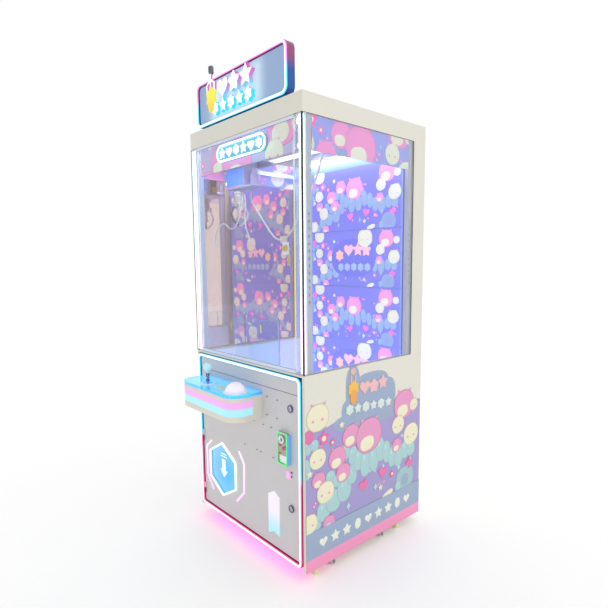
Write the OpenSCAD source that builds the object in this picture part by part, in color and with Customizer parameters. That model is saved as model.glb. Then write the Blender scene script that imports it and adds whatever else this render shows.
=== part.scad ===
// Claw crane machine: glazed play cabin on a lower cabinet, with a gantry crane inside.
// Origin: middle of the footprint (console included) on the floor. -Y is the front, +Z is up.

/* [Cabinet] */
// Width over the side panels
cab_w = 866; // [840:1:900]
// Depth of the cabinet, without the console
cab_d = 786; // [760:1:820]
// Height of the bottom edge of the panels above the floor
body_z = 46; // [44:1:50]
// Height of the window sill
sill_z = 900; // [890:1:920]
// Height of the underside of the header
header_z = 1922; // [1900:1:1940]
// Height of the top of the header
top_z = 2000; // [1980:1:2020]
// Thickness of the boards
board = 16; // [15:1:18]
// Depth of each rear post
post_d = 88; // [80:1:96]
// Width of each rear post
post_w = 50; // [44:1:56]
// Thickness of the fixed side glass
glass_t = 8; // [6:1:10]

/* [Front door] */
// Height of the seam between the door and the fixed apron
seam_z = 811; // [805:1:820]
// Width of the ring that frames the front
ring_w = 20; // [16:1:24]
// Outer corner radius of that ring
ring_r = 30; // [24:1:36]
// Thickness of the door sheet
sheet_t = 3; // [2:0.5:4]
// Depth of the folded edges of the door
fold_d = 22; // [18:1:24]
// Gap all round the door
door_gap = 3; // [2.5:0.5:4]

/* [Console] */
// Left end of the console
con_x0 = -340; // [-345:1:-330]
// Right end of the console
con_x1 = 141; // [130:1:150]
// How far the console stands out of the door
con_out = 160; // [150:1:170]
// Underside of the console
con_z0 = 661; // [650:1:670]
// Top face of the console
con_z1 = 782; // [776:1:790]
// Corner radius of the console
con_r = 75; // [60:1:76]

/* [Controls] */
// Joystick position across the console
stick_x = -155; // [-170:1:-140]
// Joystick distance in front of the door
stick_out = 102; // [95:1:110]
// Diameter of the joystick ball
ball_d = 40; // [34:1:44]
// Height of the middle of the ball
ball_z = 864; // [855:1:870]
// Push button position across the console
button_x = 68; // [60:1:80]
// Push button distance in front of the door
button_out = 92; // [88:1:96]
// Diameter of the button's bezel
button_d = 100; // [96:1:104]
// Travel of the push button
button_travel = 4; // [3:0.5:5]

/* [Prize outlet] */
// Middle of the hexagon across the door
hex_x = -207; // [-212:1:-200]
// Middle of the hexagon above the floor
hex_z = 309; // [305:1:315]
// Side of the hexagon
hex_a = 142; // [136:1:144]

/* [Coin unit] */
// Left edge of the coin unit
coin_x0 = 273; // [270:1:275]
// Right edge of the coin unit
coin_x1 = 342; // [340:1:345]
// Bottom edge of the coin unit
coin_z0 = 497; // [494:1:500]
// Top edge of the coin unit
coin_z1 = 640; // [636:1:644]
// How far the coin unit stands out of the door
coin_out = 20; // [18:1:24]

/* [Play field] */
// Right-hand edge of the prize chute
chute_x = -100; // [-110:1:-95]
// Depth of the prize chute behind the front face
chute_d = 309; // [300:1:312]
// How far the prize deck lies below the sill
bed_drop = 240; // [236:1:242]
// Height of the clear guard round the chute
guard_z = 1065; // [1050:1:1080]
// Height of the two seams in the back wall
wall_seams = [1223, 1530];

/* [Crane] */
// Claw position across the cabin, at rest
claw_x = -255; // [-258:1:-250]
// Claw position behind the front face, at rest
claw_in = 169; // [165:1:175]
// Lower edge of the carriage cover
cover_z = 1736; // [1730:1:1740]
// Width of the carriage cover
cover_w = 148; // [140:1:150]
// Depth of the carriage cover
cover_d = 62; // [61:1:64]
// Height of the carriage cover
cover_h = 88; // [84:1:90]
// Height of the underside of the two rails
rail_z = 1842; // [1840:1:1846]
// Closed height of the claw, from its cap to the finger tips
claw_h = 170; // [165:1:172]

/* [Sign] */
// Width of the lit sign on the roof
sign_w = 700; // [680:1:720]
// Height of the sign
sign_h = 206; // [200:1:212]
// Depth of the sign
sign_d = 36; // [30:1:40]
// Corner radius of the sign
sign_r = 35; // [30:1:40]

/* [Castors and feet] */
// Diameter of the castor wheels
wheel_d = 50; // [48:1:50]
// Gap under the wheels while the feet carry the machine
wheel_lift = 1; // [1:0.5:2]
// Castor position either side of the middle
castor_x = 382; // [378:1:382]
// Levelling foot position either side of the middle
foot_x = 394; // [390:1:396]

/* [Hidden] */
$fn = 48;
e = 0.5;
hw = cab_w / 2;
F = -cab_d / 2 + con_out / 2;
R = F + cab_d;
in_x = hw - board;
ring_x = in_x;
ring_z0 = body_z + 12;
ring_z1 = sill_z - 10;
door_x = ring_x - ring_w - door_gap;
door_z0 = ring_z0 + ring_w + door_gap;
door_z1 = seam_z - 2;
hinge_x = -ring_x + ring_w + 5;
hinge_y = F - 4.5;
pan_z = 78;
chute_x0 = -365;
chute_y1 = F + chute_d;
bed_y0 = F + 51;
bed_z = sill_z - bed_drop;
ledge = 17;
claw_y = F + claw_in;
drum_z = cover_z + 54;
coin_xm = (coin_x0 + coin_x1) / 2;
claw_top = 1712;
finger_pivot = [30, claw_top - 67];
finger_elbow = [49, claw_top - 112];
finger_tip = [9, claw_top - claw_h + 3];
finger_angles = [30, 150, 270];
stick_y = F - stick_out;
stick_pivot_z = con_z0 + 79;
button_y = F - button_out;
lock_x = 341;
lock_heights = [306, 747];
win_x = 379;
win_pivot = [-368, F + 4];
win_lock = [324, 1412];
strip_x = 381;
upright_x = [400, 420];
guard_t = 5;
cable_r = 4.5;
lead_r = 3.5;
castor_trail = 18;
castor_ys = [-240, 315];
foot_ys = [-130, 205];
axle_z = wheel_d / 2 + wheel_lift;

// Routes of the leads, in round numbers
festoon_route = [[-200, -112, 1716], [-197, -114, 1700], [-184, -120, 1676], [-145, -126, 1632],
    [-95, -128, 1580], [-50, -128, 1532], [-10, -128, 1494], [30, -128, 1468], [75, -128, 1461],
    [120, -128, 1480], [165, -128, 1522], [215, -126, 1588], [262, -122, 1660], [300, -118, 1730],
    [325, -116, 1790], [342, -115, 1828], [358, -115, 1839], [370, -115, 1840]];
plug_route = [[-230, -144, 1700], [-216, -144, 1700], [-200, -147, 1690], [-190, -151, 1660],
    [-184, -157, 1620], [-178, -164, 1580], [-166, -170, 1545], [-150, -174, 1515],
    [-134, -175, 1490], [-128, -175, 1468]];
coil_route = [[-230, -144, 1688], [-220, -147, 1686], [-208, -157, 1664], [-203, -170, 1620],
    [-205, -181, 1576], [-219, -190, 1542], [-244, -196, 1526], [-272, -199, 1532],
    [-296, -206, 1552], [-312, -220, 1548], [-322, -234, 1520], [-325, -242, 1488], [-322, -246, 1462]];

// ---------- helpers ----------
// A box from its lowest to its highest corner
module box(lo, hi) {
    translate(lo) cube(hi - lo);
}
// A flat outline drawn in X and Z, given thickness from y0 to y1
module slab_y(y0, y1) {
    translate([0, y1, 0]) rotate([90, 0, 0]) linear_extrude(y1 - y0) children();
}
// A flat outline drawn in Y and Z, given thickness from x0 to x1
module slab_x(x0, x1) {
    translate([x0, 0, 0]) rotate([90, 0, 90]) linear_extrude(x1 - x0) children();
}
// A round bar along Y
module rod_y(x, z, y0, y1, r) {
    translate([x, y1, z]) rotate([90, 0, 0]) cylinder(h = y1 - y0, r = r);
}
// A round bar along X
module rod_x(y, z, x0, x1, r) {
    translate([x0, y, z]) rotate([0, 90, 0]) cylinder(h = x1 - x0, r = r);
}
// A rectangle with round corners, as squares and circles so that its arcs stay true
module round_rect(x0, x1, z0, z1, r) {
    translate([x0 + r, z0]) square([x1 - x0 - 2 * r, z1 - z0]);
    translate([x0, z0 + r]) square([x1 - x0, z1 - z0 - 2 * r]);
    for (x = [x0 + r, x1 - r], z = [z0 + r, z1 - r]) translate([x, z]) circle(r);
}
// The band between a round-cornered rectangle and the same one drawn in by w
module round_band(x0, x1, z0, z1, r, w) {
    difference() {
        round_rect(x0, x1, z0, z1, r);
        round_rect(x0 + w, x1 - w, z0 + w, z1 - w, r - w);
    }
}
// The outline of a line of width w along the points p, with mitred corners and square ends
function left_of(d) = [-d[1], d[0]];
function mitre(a, b) = (a + b) / (1 + a * b);
function stroke(p, w) = let (n = len(p), side = [for (i = [0:n - 2]) left_of(unit(p[i + 1] - p[i]))],
    off = [for (i = [0:n - 1]) w / 2 * mitre(side[max(i - 1, 0)], side[min(i, n - 2)])])
    concat([for (i = [0:n - 1]) p[i] + off[i]], [for (i = [n - 1:-1:0]) p[i] - off[i]]);
// A point-up hexagon of side a
module hexagon(a) {
    rotate(90) circle(r = a, $fn = 6);
}
// A star with n points
function star_points(n, ro, ri) = [for (i = [0:2 * n - 1])
    let (r = i % 2 == 0 ? ro : ri, t = 90 + i * 180 / n) [r * cos(t), r * sin(t)]];
// A heart of width 2w
function heart_points(w) = [for (t = [0:12:348])
    w * [pow(sin(t), 3), (13 * cos(t) - 5 * cos(2 * t) - 2 * cos(3 * t) - cos(4 * t)) / 16]];
// A flower with n petals round a circle of radius r
function flower_points(n, r, petal) = [for (t = [0:10:350]) (r + petal * cos(n * (t - 90))) * [cos(t), sin(t)]];
// The points of a Catmull-Rom curve through pts, with k steps in each stretch
function cr(a, b, c, d, t) = 0.5 * (2 * b + (c - a) * t + (2 * a - 5 * b + 4 * c - d) * t * t
    + (3 * b - a - 3 * c + d) * t * t * t);
function smooth(pts, k) = let (n = len(pts)) concat([for (i = [0:n - 2], j = [0:k - 1])
    cr(pts[max(i - 1, 0)], pts[i], pts[i + 1], pts[min(i + 2, n - 1)], j / k)], [pts[n - 1]]);
function unit(v) = v / norm(v);
// A tube of radius r with s sides along the points p
module tube(p, r, s = 8) {
    n = len(p);
    rings = [for (i = [0:n - 1])
        let (t = unit(p[min(i + 1, n - 1)] - p[max(i - 1, 0)]), u = unit(cross([0, 1, 0], t)), w = cross(t, u))
        for (j = [0:s - 1]) p[i] + r * (cos(j * 360 / s) * u + sin(j * 360 / s) * w)];
    sides = [for (i = [0:n - 2], j = [0:s - 1])
        [i * s + j, i * s + (j + 1) % s, (i + 1) * s + (j + 1) % s, (i + 1) * s + j]];
    ends = [[for (j = [s - 1:-1:0]) j], [for (j = [0:s - 1]) (n - 1) * s + j]];
    polyhedron(points = rings, faces = [for (f = concat(sides, ends)) [for (k = [len(f) - 1:-1:0]) f[k]]]);
}

// ---------- lower cabinet ----------
module base_pan() {
    color("BurlyWood") difference() {
        box([-in_x + e, F + 30, pan_z], [in_x - e, R - board - e, pan_z + board]);
        for (x = [-foot_x, foot_x], y = foot_ys) translate([x, y, pan_z - 1]) cylinder(h = board + 2, r = 6.5);
    }
    color("Silver") for (x = [-castor_x, castor_x], y = castor_ys) translate([x, y, 0]) {
        translate([0, 0, 59]) cylinder(h = pan_z - 59 + 1, r = 5);
        translate([0, 0, pan_z - 2]) cylinder(h = 2.5, r = 26);
    }
}
module side_panels() {
    color("Ivory") for (x = [-hw, hw - board]) box([x, F, body_z], [x + board, R, sill_z]);
}
module rear_shell() {
    color("Ivory") {
        difference() {
            box([-in_x, R - board, body_z], [in_x, R, sill_z]);
            box([225.5, R - board - 1, 165.5], [274.5, R + 1, 194.5]);
            for (i = [0:7]) box([-300, R - board - 1, 200 + 24 * i], [-140, R + 1, 208 + 24 * i]);
        }
        box([-hw + post_w, R - board, sill_z], [hw - post_w, R, header_z]);
        for (x = [-hw, hw - post_w]) box([x, R - post_d, sill_z], [x + post_w, R, header_z]);
    }
}
module front_surround() {
    // straight lengths of channel with the diffuser in front, a hairline short of each corner piece
    hair = 0.2;
    xc = ring_x - ring_r;
    zc = [ring_z0 + ring_r, ring_z1 - ring_r];
    color("MidnightBlue") {
        for (s = [-1, 1]) {
            x = s > 0 ? ring_x - ring_w : -ring_x;
            box([x, F - 2, zc[0] + hair], [x + ring_w, F + 25, zc[1] - hair]);
            box([x + 4, F - 8, zc[0] + hair], [x + ring_w - 4, F - 2, zc[1] - hair]);
        }
        for (z = [ring_z0, ring_z1 - ring_w]) {
            box([-xc + hair, F - 2, z], [xc - hair, F + 25, z + ring_w]);
            box([-xc + hair, F - 8, z + 4], [xc - hair, F - 2, z + ring_w - 4]);
        }
    }
    color("Aqua") for (k = [0:3])
        translate([k == 0 || k == 3 ? xc : -xc, F + 25, k < 2 ? zc[1] : zc[0]]) rotate([90, 0, 0]) rotate([0, 0, 90 * k])
            rotate_extrude(angle = 90) polygon([[ring_r - ring_w, 0], [ring_r, 0], [ring_r, 27], [ring_r - 4, 27],
                [ring_r - 4, 33], [ring_r - ring_w + 4, 33], [ring_r - ring_w + 4, 27], [ring_r - ring_w, 27]]);
    color("Silver") for (z = [150, 445, 720]) translate([hinge_x, hinge_y, z]) {
        translate([0, 0, -30]) cylinder(h = 30, r = 4);
        cylinder(h = 28, r = 2.5);
        box([-8, -1.5, -30], [0, 1.5, 0]);
    }
}
module front_apron() {
    x1 = ring_x - ring_w - e;
    z1 = ring_z1 - ring_w - e;
    r = ring_r - ring_w;
    color("Gainsboro") {
        slab_y(F, F + sheet_t) {
            translate([-x1, seam_z + 1]) square([2 * x1, z1 - r - seam_z - 1]);
            translate([-x1 + r, seam_z + 1]) square([2 * (x1 - r), z1 - seam_z - 1]);
            for (x = [-x1 + r, x1 - r]) translate([x, z1 - r]) circle(r);
        }
        box([-x1, F + sheet_t, seam_z + 1], [x1, F + 20, seam_z + 3]);
    }
}
module sill_frame() {
    color("Ivory") {
        difference() {
            box([-in_x + e, F, ring_z1 + e], [in_x - e, R - board - e, sill_z]);
            box([-in_x + ledge, bed_y0 - 1, 0], [in_x - ledge, R - 55, sill_z + 1]);
        }
        translate([win_pivot[0], win_pivot[1], sill_z]) cylinder(h = 11, r = 3);
    }
}
module prize_bed() {
    color("LightSteelBlue") difference() {
        union() {
            box([-in_x + e, bed_y0, bed_z - 14], [in_x - e, R - 68, bed_z]);
            box([-in_x + e, bed_y0 - 4, bed_z - 14], [in_x - e, bed_y0, ring_z1]);
        }
        box([chute_x0 - 1, bed_y0, 0], [chute_x, chute_y1, bed_z + 1]);
    }
}
module chute_duct() {
    right = -62;
    top = bed_z - 14 - e;
    color("Silver") {
        box([chute_x0 - 2, bed_y0, 480], [chute_x0, chute_y1, top]);
        box([right, bed_y0, 480], [right + 2, chute_y1, top]);
        box([chute_x0 - 2, bed_y0 - 2, 480], [right + 2, bed_y0, top]);
        box([chute_x0 - 2, chute_y1, 240], [right + 2, chute_y1 + 2, top]);
        for (x = [chute_x0 - 2, right]) slab_x(x, x + 2)
            polygon([[F + 28, 138], [F + 28, 480], [chute_y1, 480], [chute_y1, 238]]);
        slab_x(chute_x0 - 2, right + 2)
            polygon([[F + 28, 138], [F + 28, 140], [chute_y1 + 2, 242], [chute_y1 + 2, 240]]);
    }
}
module chute_guard() {
    r = 25;
    color("LightCyan", 0.4) difference() {
        union() {
            box([chute_x - guard_t, F + 30, bed_z], [chute_x, chute_y1 - r, guard_z]);
            box([-in_x + 2, chute_y1 - guard_t, bed_z], [chute_x - r, chute_y1, guard_z]);
            translate([chute_x - r, chute_y1 - r, bed_z]) rotate_extrude(angle = 90)
                translate([r - guard_t, 0]) square([guard_t, guard_z - bed_z]);
        }
        box([-in_x, F, bed_z - 1], [chute_x + 1, bed_y0 + e, sill_z]);
        box([-in_x, F, bed_z - 1], [-in_x + ledge + e, R, sill_z]);
    }
}
module power_unit() {
    color("DimGray") {
        box([150, R - board - 130, pan_z + board], [330, R - board - 1, 214]);
        box([226, R - board - 1, 166], [274, R - 1, 194]);
    }
}
module levelling_feet() {
    color("DarkSlateGray") for (x = [-foot_x, foot_x], y = foot_ys) translate([x, y, 0]) {
        cylinder(h = 9, r = 21);
        translate([0, 0, 9]) cylinder(h = 6, r = 11);
        translate([0, 0, 15]) cylinder(h = pan_z + board - 5, r = 6);
    }
}

// ---------- cabin ----------
module back_wall() {
    y = R - 64;
    zs = concat([bed_z + e], wall_seams, [header_z - 1]);
    color("MediumSlateBlue") for (i = [0:2]) box([-350, y, zs[i]], [350, y + 8, zs[i + 1] - 1]);
}
module side_glass_left() {
    color("LightCyan", 0.4) box([-hw, F, sill_z], [-hw + glass_t, R - post_d, header_z]);
}
module fixed_glass() {
    color("LightCyan", 0.4) {
        box([hw - glass_t, F, sill_z], [hw, R - post_d, header_z]);
        for (x = [-hw + glass_t + e, strip_x]) box([x, F, sill_z], [x + hw - glass_t - e - strip_x, F + 8, header_z]);
    }
}
module slotted_uprights() {
    w = upright_x[1] - upright_x[0];
    color("GhostWhite") for (side = [-1, 1], y = [F + 26, R - post_d - 30]) difference() {
        box([side > 0 ? upright_x[0] : -upright_x[1], y, sill_z],
            [side > 0 ? upright_x[1] : -upright_x[0], y + 27, header_z]);
        for (i = [0:12]) box([side > 0 ? upright_x[0] + 3 : -upright_x[1] - 1, y + 10, 1190 + 29 * i],
            [side > 0 ? upright_x[1] + 1 : -upright_x[0] - 3, y + 16, 1202 + 29 * i]);
    }
}
module header() {
    color("Ivory") {
        difference() {
            box([-hw, F, header_z], [hw, R, top_z]);
            box([-hw + board, F + board, header_z + 6], [hw - board, R - board, top_z - board]);
        }
        translate([win_pivot[0], win_pivot[1], header_z - 11]) cylinder(h = 11, r = 3);
    }
}
module banner_boards() {
    z0 = header_z - 135;
    color("Plum") {
        box([-372, F + 24, z0], [372, F + 28, header_z]);
        for (x = [-421, 420]) box([x, F + 56, z0], [x + 1, R - post_d - 33, header_z]);
    }
    color("Aqua") slab_y(F + 12, F + 24) round_rect(-190, 190, z0 + 36, z0 + 110, 36);
}
module gantry_rails() {
    color("Silver") for (x = [-upright_x[0], upright_x[0] - 14])
        box([x, F + 45, rail_z], [x + 14, R - 95, rail_z + 22]);
}

// ---------- sign ----------
module marquee_frame() {
    z1 = top_z + 6 + sign_h;
    color("MidnightBlue") {
        slab_y(F, F + sign_d) round_band(-sign_w / 2, sign_w / 2, top_z + 6, z1, sign_r, 14);
        slab_y(F + sign_d - 4, F + sign_d) round_rect(-sign_w / 2 + 13, sign_w / 2 - 13, top_z + 19, z1 - 13, sign_r - 13);
        for (x = [-220, 180]) box([x, F + 6, top_z], [x + 40, F + sign_d, top_z + 7]);
    }
    color("Violet") slab_y(F - 6, F)
        round_band(-sign_w / 2 + 2, sign_w / 2 - 2, top_z + 8, z1 - 2, sign_r - 2, 10);
}
module marquee_panel() {
    color("LightSteelBlue") slab_y(F + 6, F + 10)
        round_rect(-sign_w / 2 + 15, sign_w / 2 - 15, top_z + 21, top_z + sign_h - 9, sign_r - 15);
}
module marquee_emblem() {
    zm = top_z + 6 + sign_h / 2;
    color("White") slab_y(F - 14, F + 6) {
        translate([-98, zm + 34]) polygon(heart_points(44));
        translate([-8, zm + 34]) polygon(flower_points(5, 36, 8));
        translate([84, zm + 36]) polygon(star_points(5, 50, 25));
        for (i = [0:4]) translate([-164 + 66 * i, zm - 46])
            polygon(i % 2 == 0 ? flower_points(6, 25, 4) : star_points(5, 32, 17));
    }
    // the gold figure stands in front of the frame, on one stud
    color("Gold") {
        slab_y(F - 16, F - 7) {
            translate([-196, zm + 12]) polygon(star_points(6, 40, 29));
            translate([-196, zm - 28]) polygon(flower_points(5, 21, 3));
            polygon(stroke([[-196, zm + 34], [-196, zm + 150]], 12));
            for (s = [-1, 1])
                polygon(stroke([[-196, zm + 88], [-196 + s * 34, zm + 66], [-196 + s * 30, zm + 16]], 9));
        }
        rod_y(-196, zm, F - 7, F + 6, 8);
    }
}

// ---------- glass door ----------
module window_glass() {
    color("LightCyan", 0.3) difference() {
        box([-win_x, F + 1, sill_z + 17], [win_x, F + 7, header_z - 15]);
        rod_y(win_lock[0], win_lock[1], F, F + 8, 11.5);
    }
}
module window_frame() {
    color("Silver") {
        for (z = [sill_z + 3, header_z - 15]) difference() {
            box([-win_x, F - 1, z], [win_x, F + 9, z + (z < 1000 ? 14 : 12)]);
            translate([win_pivot[0], win_pivot[1], z < 1000 ? z - 1 : z + 2]) cylinder(h = 11, r = 3.05);
        }
    }
    color("Goldenrod") difference() {
        box([win_lock[0] - 20, F - 1, win_lock[1] - 25], [win_lock[0] + 20, F + 1, win_lock[1] + 25]);
        rod_y(win_lock[0], win_lock[1], F - 2, F + 2, 10.05);
    }
}
// A cam lock: face ring, barrel and a cam that hangs down until it is turned
module cam_lock(x, z, front, cam_y, cam_l, face_r) {
    difference() {
        union() {
            rod_y(x, z, front - 5, front, face_r);
            rod_y(x, z, front - 1, cam_y + 3, 10);
            box([x - 7, cam_y, z - cam_l - 7], [x + 7, cam_y + 3, z]);
        }
        box([x - 1.2, front - 6, z - 4], [x + 1.2, front - 1, z + 4]);
    }
}
module window_lock() {
    color("Goldenrod") cam_lock(win_lock[0], win_lock[1], F - 1.4, F + 16, 64, 13);
}

// ---------- front door ----------
module door_panel() {
    color("Gainsboro") difference() {
        union() {
            box([-door_x, F, door_z0], [door_x, F + sheet_t, door_z1]);
            for (x = [-door_x, door_x - 2]) box([x, F, door_z0], [x + 2, F + fold_d, door_z1]);
            for (z = [door_z0, door_z1 - 2]) box([-door_x, F, z], [door_x, F + fold_d, z + 2]);
            for (z = [150, 445, 720]) translate([hinge_x, hinge_y, z + 0.4]) {
                cylinder(h = 30, r = 4);
                box([0, -1.5, 0], [8, 1.5, 30]);
                box([5, -1.5, 0], [8, 4.6, 30]);
            }
        }
        for (z = [150, 445, 720]) translate([hinge_x, hinge_y, z]) cylinder(h = 32, r = 2.55);
        slab_y(F - 1, F + sheet_t + 1) {
            translate([hex_x, hex_z]) hexagon(hex_a - 8);
            translate([coin_x0 + 1, coin_z0 + 2]) square([coin_x1 - coin_x0 - 2, coin_z1 - coin_z0 - 4]);
            for (p = [[79, 631], [151, 630], [208, 631], [2, 498], [99, 497], [130, 497], [222, 496]])
                translate(p) circle(2.5);
            for (x = [181, 255], z = [683, 765]) translate([x, z]) circle(2.5);
            for (z = lock_heights) translate([lock_x, z]) circle(10.05);
        }
    }
    // ears that carry the pin of the prize flap
    color("Silver") for (x = [hex_x - 146, hex_x + 140]) difference() {
        box([x, F + sheet_t, hex_z + 146], [x + 6, F + 14, hex_z + 160]);
        rod_x(F + 8, hex_z + 153, x - 1, x + 7, 2.55);
    }
}
module lock_lower() {
    color("Silver") cam_lock(lock_x, lock_heights[0], F - 0.4, F + 27, 58, 14);
}
module lock_upper() {
    color("Silver") cam_lock(lock_x, lock_heights[1], F - 0.4, F + 27, 58, 14);
}
module prize_flap() {
    color("DeepSkyBlue") {
        box([hex_x - 137, F + 6, hex_z - 149], [hex_x + 137, F + 10, hex_z + 150]);
        rod_x(F + 8, hex_z + 153, hex_x - 137, hex_x + 137, 4);
        rod_x(F + 8, hex_z + 153, hex_x - 146, hex_x + 146, 2.5);
    }
}
module door_lights() {
    w = 9;
    color("White") {
        slab_y(F - 8, F) difference() {
            translate([hex_x, hex_z]) hexagon(hex_a + 10);
            translate([hex_x, hex_z]) hexagon(hex_a - 6);
        }
        slab_y(F - 5, F) {
            polygon(stroke([[-55, 449], [-13, 396], [-17, 249], [-84, 182]], w));
            polygon(stroke([[-311, 434], [-361, 393], [-361, 238], [-303, 168]], w));
            polygon([[181, 133], [181, 321], [224, 346], [260, 325], [260, 143], [221, 154]]);
        }
    }
}
// The console's outline in plan, drawn in by d
module console_plan(d, back = 0) {
    r = con_r - d;
    x0 = con_x0 + d;
    x1 = con_x1 - d;
    y0 = F - con_out + d;
    translate([x0 + r, y0]) square([x1 - x0 - 2 * r, con_out - d - back]);
    translate([x0, y0 + r]) square([x1 - x0, con_out - d - r - back]);
    for (x = [x0 + r, x1 - r]) translate([x, y0 + r]) circle(r);
}
module console_shell() {
    color("Ivory") difference() {
        translate([0, 0, con_z0]) linear_extrude(con_z1 - con_z0 - 12) console_plan(0);
        translate([0, 0, con_z0 + 4]) linear_extrude(con_z1 - con_z0) console_plan(8, 4);
        translate([0, 0, con_z0 + 26]) linear_extrude(66) difference() {
            translate([con_x0 - 1, F - con_out - 1]) square([con_x1 - con_x0 + 2, con_out - 50]);
            console_plan(4);
        }
    }
    // posts that carry the joystick's gimbal
    color("Silver") for (s = [-1, 1]) difference() {
        box([stick_x + s * 21 - 3, stick_y - 6, con_z0 + 4], [stick_x + s * 21 + 3, stick_y + 6, stick_pivot_z + 7]);
        rod_x(stick_y, stick_pivot_z, stick_x + s * 21 - 4, stick_x + s * 21 + 4, 2.55);
    }
}
module console_light_band() {
    color("Violet") translate([0, 0, con_z0 + 26]) linear_extrude(66) intersection() {
        difference() {
            console_plan(0);
            console_plan(4);
        }
        translate([con_x0 - 1, F - con_out - 1]) square([con_x1 - con_x0 + 2, con_out - 50]);
    }
}
module console_top() {
    color("DodgerBlue") difference() {
        union() {
            translate([0, 0, con_z1 - 12]) linear_extrude(12) console_plan(0);
            translate([button_x, button_y, con_z1]) cylinder(h = 9, d = button_d);
            translate([stick_x, stick_y, con_z1]) cylinder(h = 4, r = 33);
        }
        translate([button_x, button_y, con_z1]) cylinder(h = 10, d = button_d - 7);
        translate([button_x, button_y, con_z1 - 13]) cylinder(h = 14, r = 20.4);
        translate([stick_x, stick_y, con_z1 - 13]) cylinder(h = 20, r = 23);
    }
}
module gimbal_ring() {
    color("DimGray") difference() {
        union() {
            translate([stick_x, stick_y, stick_pivot_z - 5]) cylinder(h = 10, r = 16);
            rod_x(stick_y, stick_pivot_z, stick_x - 24, stick_x + 24, 2.5);
        }
        translate([stick_x, stick_y, stick_pivot_z - 6]) cylinder(h = 12, r = 10);
        rod_y(stick_x, stick_pivot_z, stick_y - 17, stick_y + 17, 2.55);
    }
}
module joystick() {
    color("SlateBlue") {
        translate([stick_x, stick_y, stick_pivot_z - 26]) cylinder(h = ball_z - stick_pivot_z + 26, r = 5);
        rod_y(stick_x, stick_pivot_z, stick_y - 15, stick_y + 15, 2.5);
    }
    color("PaleTurquoise") translate([stick_x, stick_y, ball_z]) sphere(d = ball_d);
}
module play_button() {
    r = button_d / 2 - 4;
    h = 36;
    big = (r * r + h * h) / (2 * h);
    z = con_z1 + button_travel + 0.5;
    color("White") translate([button_x, button_y, 0]) {
        intersection() {
            translate([0, 0, z + 6 + h - big]) sphere(big);
            translate([0, 0, z + 6]) cylinder(h = h + 1, r = r);
        }
        translate([0, 0, z]) cylinder(h = 6.01, r = r);
        translate([0, 0, con_z1 - 30]) cylinder(h = z - con_z1 + 31, r = 20);
    }
}
module coin_unit() {
    cup = [[coin_x0 + 7, F - coin_out - 1, coin_z0 + 4], [coin_x1 - 7, F + 30, coin_z0 + 44]];
    color("RosyBrown") difference() {
        union() {
            slab_y(F - coin_out, F) round_rect(coin_x0, coin_x1, coin_z0, coin_z1, 6);
            box([coin_x0 + 3, F - 1, coin_z0 + 2.5], [coin_x1 - 3, F + 110, coin_z1 - 3]);
            rod_y(coin_xm, coin_z1 - 30, F - coin_out - 4, F - coin_out + 1, 19);
        }
        box(cup[0], cup[1]);
        box([coin_xm - 1.6, F - coin_out - 6, coin_z1 - 44], [coin_xm + 1.6, F + 30, coin_z1 - 16]);
        rod_y(coin_xm + 14, coin_z1 - 66, F - coin_out - 1, F - 1, 8.3);
        rod_x(F - coin_out + 4, coin_z0 + 40, coin_x0 + 4, coin_x1 - 4, 1.55);
    }
}
module coin_reject_button() {
    color("Firebrick") rod_y(coin_xm + 14, coin_z1 - 66, F - coin_out - 6, F - 6, 8);
}
module coin_return_flap() {
    y = F - coin_out + 4;
    z = coin_z0 + 40;
    color("Silver") {
        box([coin_x0 + 8, y - 1, coin_z0 + 5], [coin_x1 - 8, y + 1, z]);
        rod_x(y, z, coin_x0 + 8, coin_x1 - 8, 2.4);
        rod_x(y, z, coin_x0 + 4.5, coin_x1 - 4.5, 1.5);
    }
}

// ---------- crane ----------
module gantry_beam() {
    y0 = claw_y - 106;
    y1 = claw_y + 130;
    color("Silver") {
        for (s = [-1, 1]) {
            x = s > 0 ? 376 : -399;
            box([x, y0, rail_z + 22.5], [x + 23, y1, rail_z + 36]);
            box([s > 0 ? 376 : -385.4, y0, rail_z - 16], [s > 0 ? 385.4 : -376, y1, rail_z + 24]);
        }
        for (y = [claw_y - 56, claw_y + 64]) box([-377, y, rail_z - 14], [377, y + 20, rail_z + 6]);
        rod_x(-115, 1840, 370, 377, 8);
    }
    color("DimGray") box([-376.5, claw_y + 84.5, rail_z - 14], [-300, y1, rail_z + 26]);
}
module carriage_chassis() {
    x0 = claw_x - cover_w / 2;
    color("LightSteelBlue") {
        box([x0, claw_y - 62, rail_z + 6.5], [x0 + cover_w + 82, claw_y + 84, rail_z + 10]);
        for (s = [-1, 1]) difference() {
            box([claw_x + s * 44 - 2, claw_y - 22, cover_z - 10], [claw_x + s * 44 + 2, claw_y + 32, rail_z + 7]);
            rod_x(claw_y + 16.5, drum_z, claw_x + s * 44 - 3, claw_x + s * 44 + 3, 4.05);
        }
        difference() {
            box([x0, claw_y - 26, cover_z - 10], [x0 + cover_w + 82, claw_y + 62, cover_z - 2]);
            translate([claw_x, claw_y, cover_z - 11]) cylinder(h = 12, r = 8);
        }
        box([x0 + cover_w + 2, claw_y - 26, cover_z - 3], [x0 + cover_w + 5, claw_y + 60, rail_z + 7]);
        translate([-200, -112, cover_z - 18]) cylinder(h = 9, r = 7);
    }
    color("Goldenrod") translate([x0 + cover_w + 36, claw_y + 22, cover_z - 3]) {
        cylinder(h = 54, r = 24);
        translate([0, 0, 53]) cylinder(h = 26, r = 17);
    }
}
module carriage_cover() {
    x0 = claw_x - cover_w / 2;
    color("DodgerBlue") difference() {
        box([x0, claw_y - 26, cover_z - 1.5], [x0 + cover_w, claw_y - 26 + cover_d, cover_z + cover_h]);
        box([x0 + 2, claw_y - 24, cover_z - 2], [x0 + cover_w - 2, claw_y - 28 + cover_d, cover_z + cover_h + 1]);
    }
}
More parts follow.
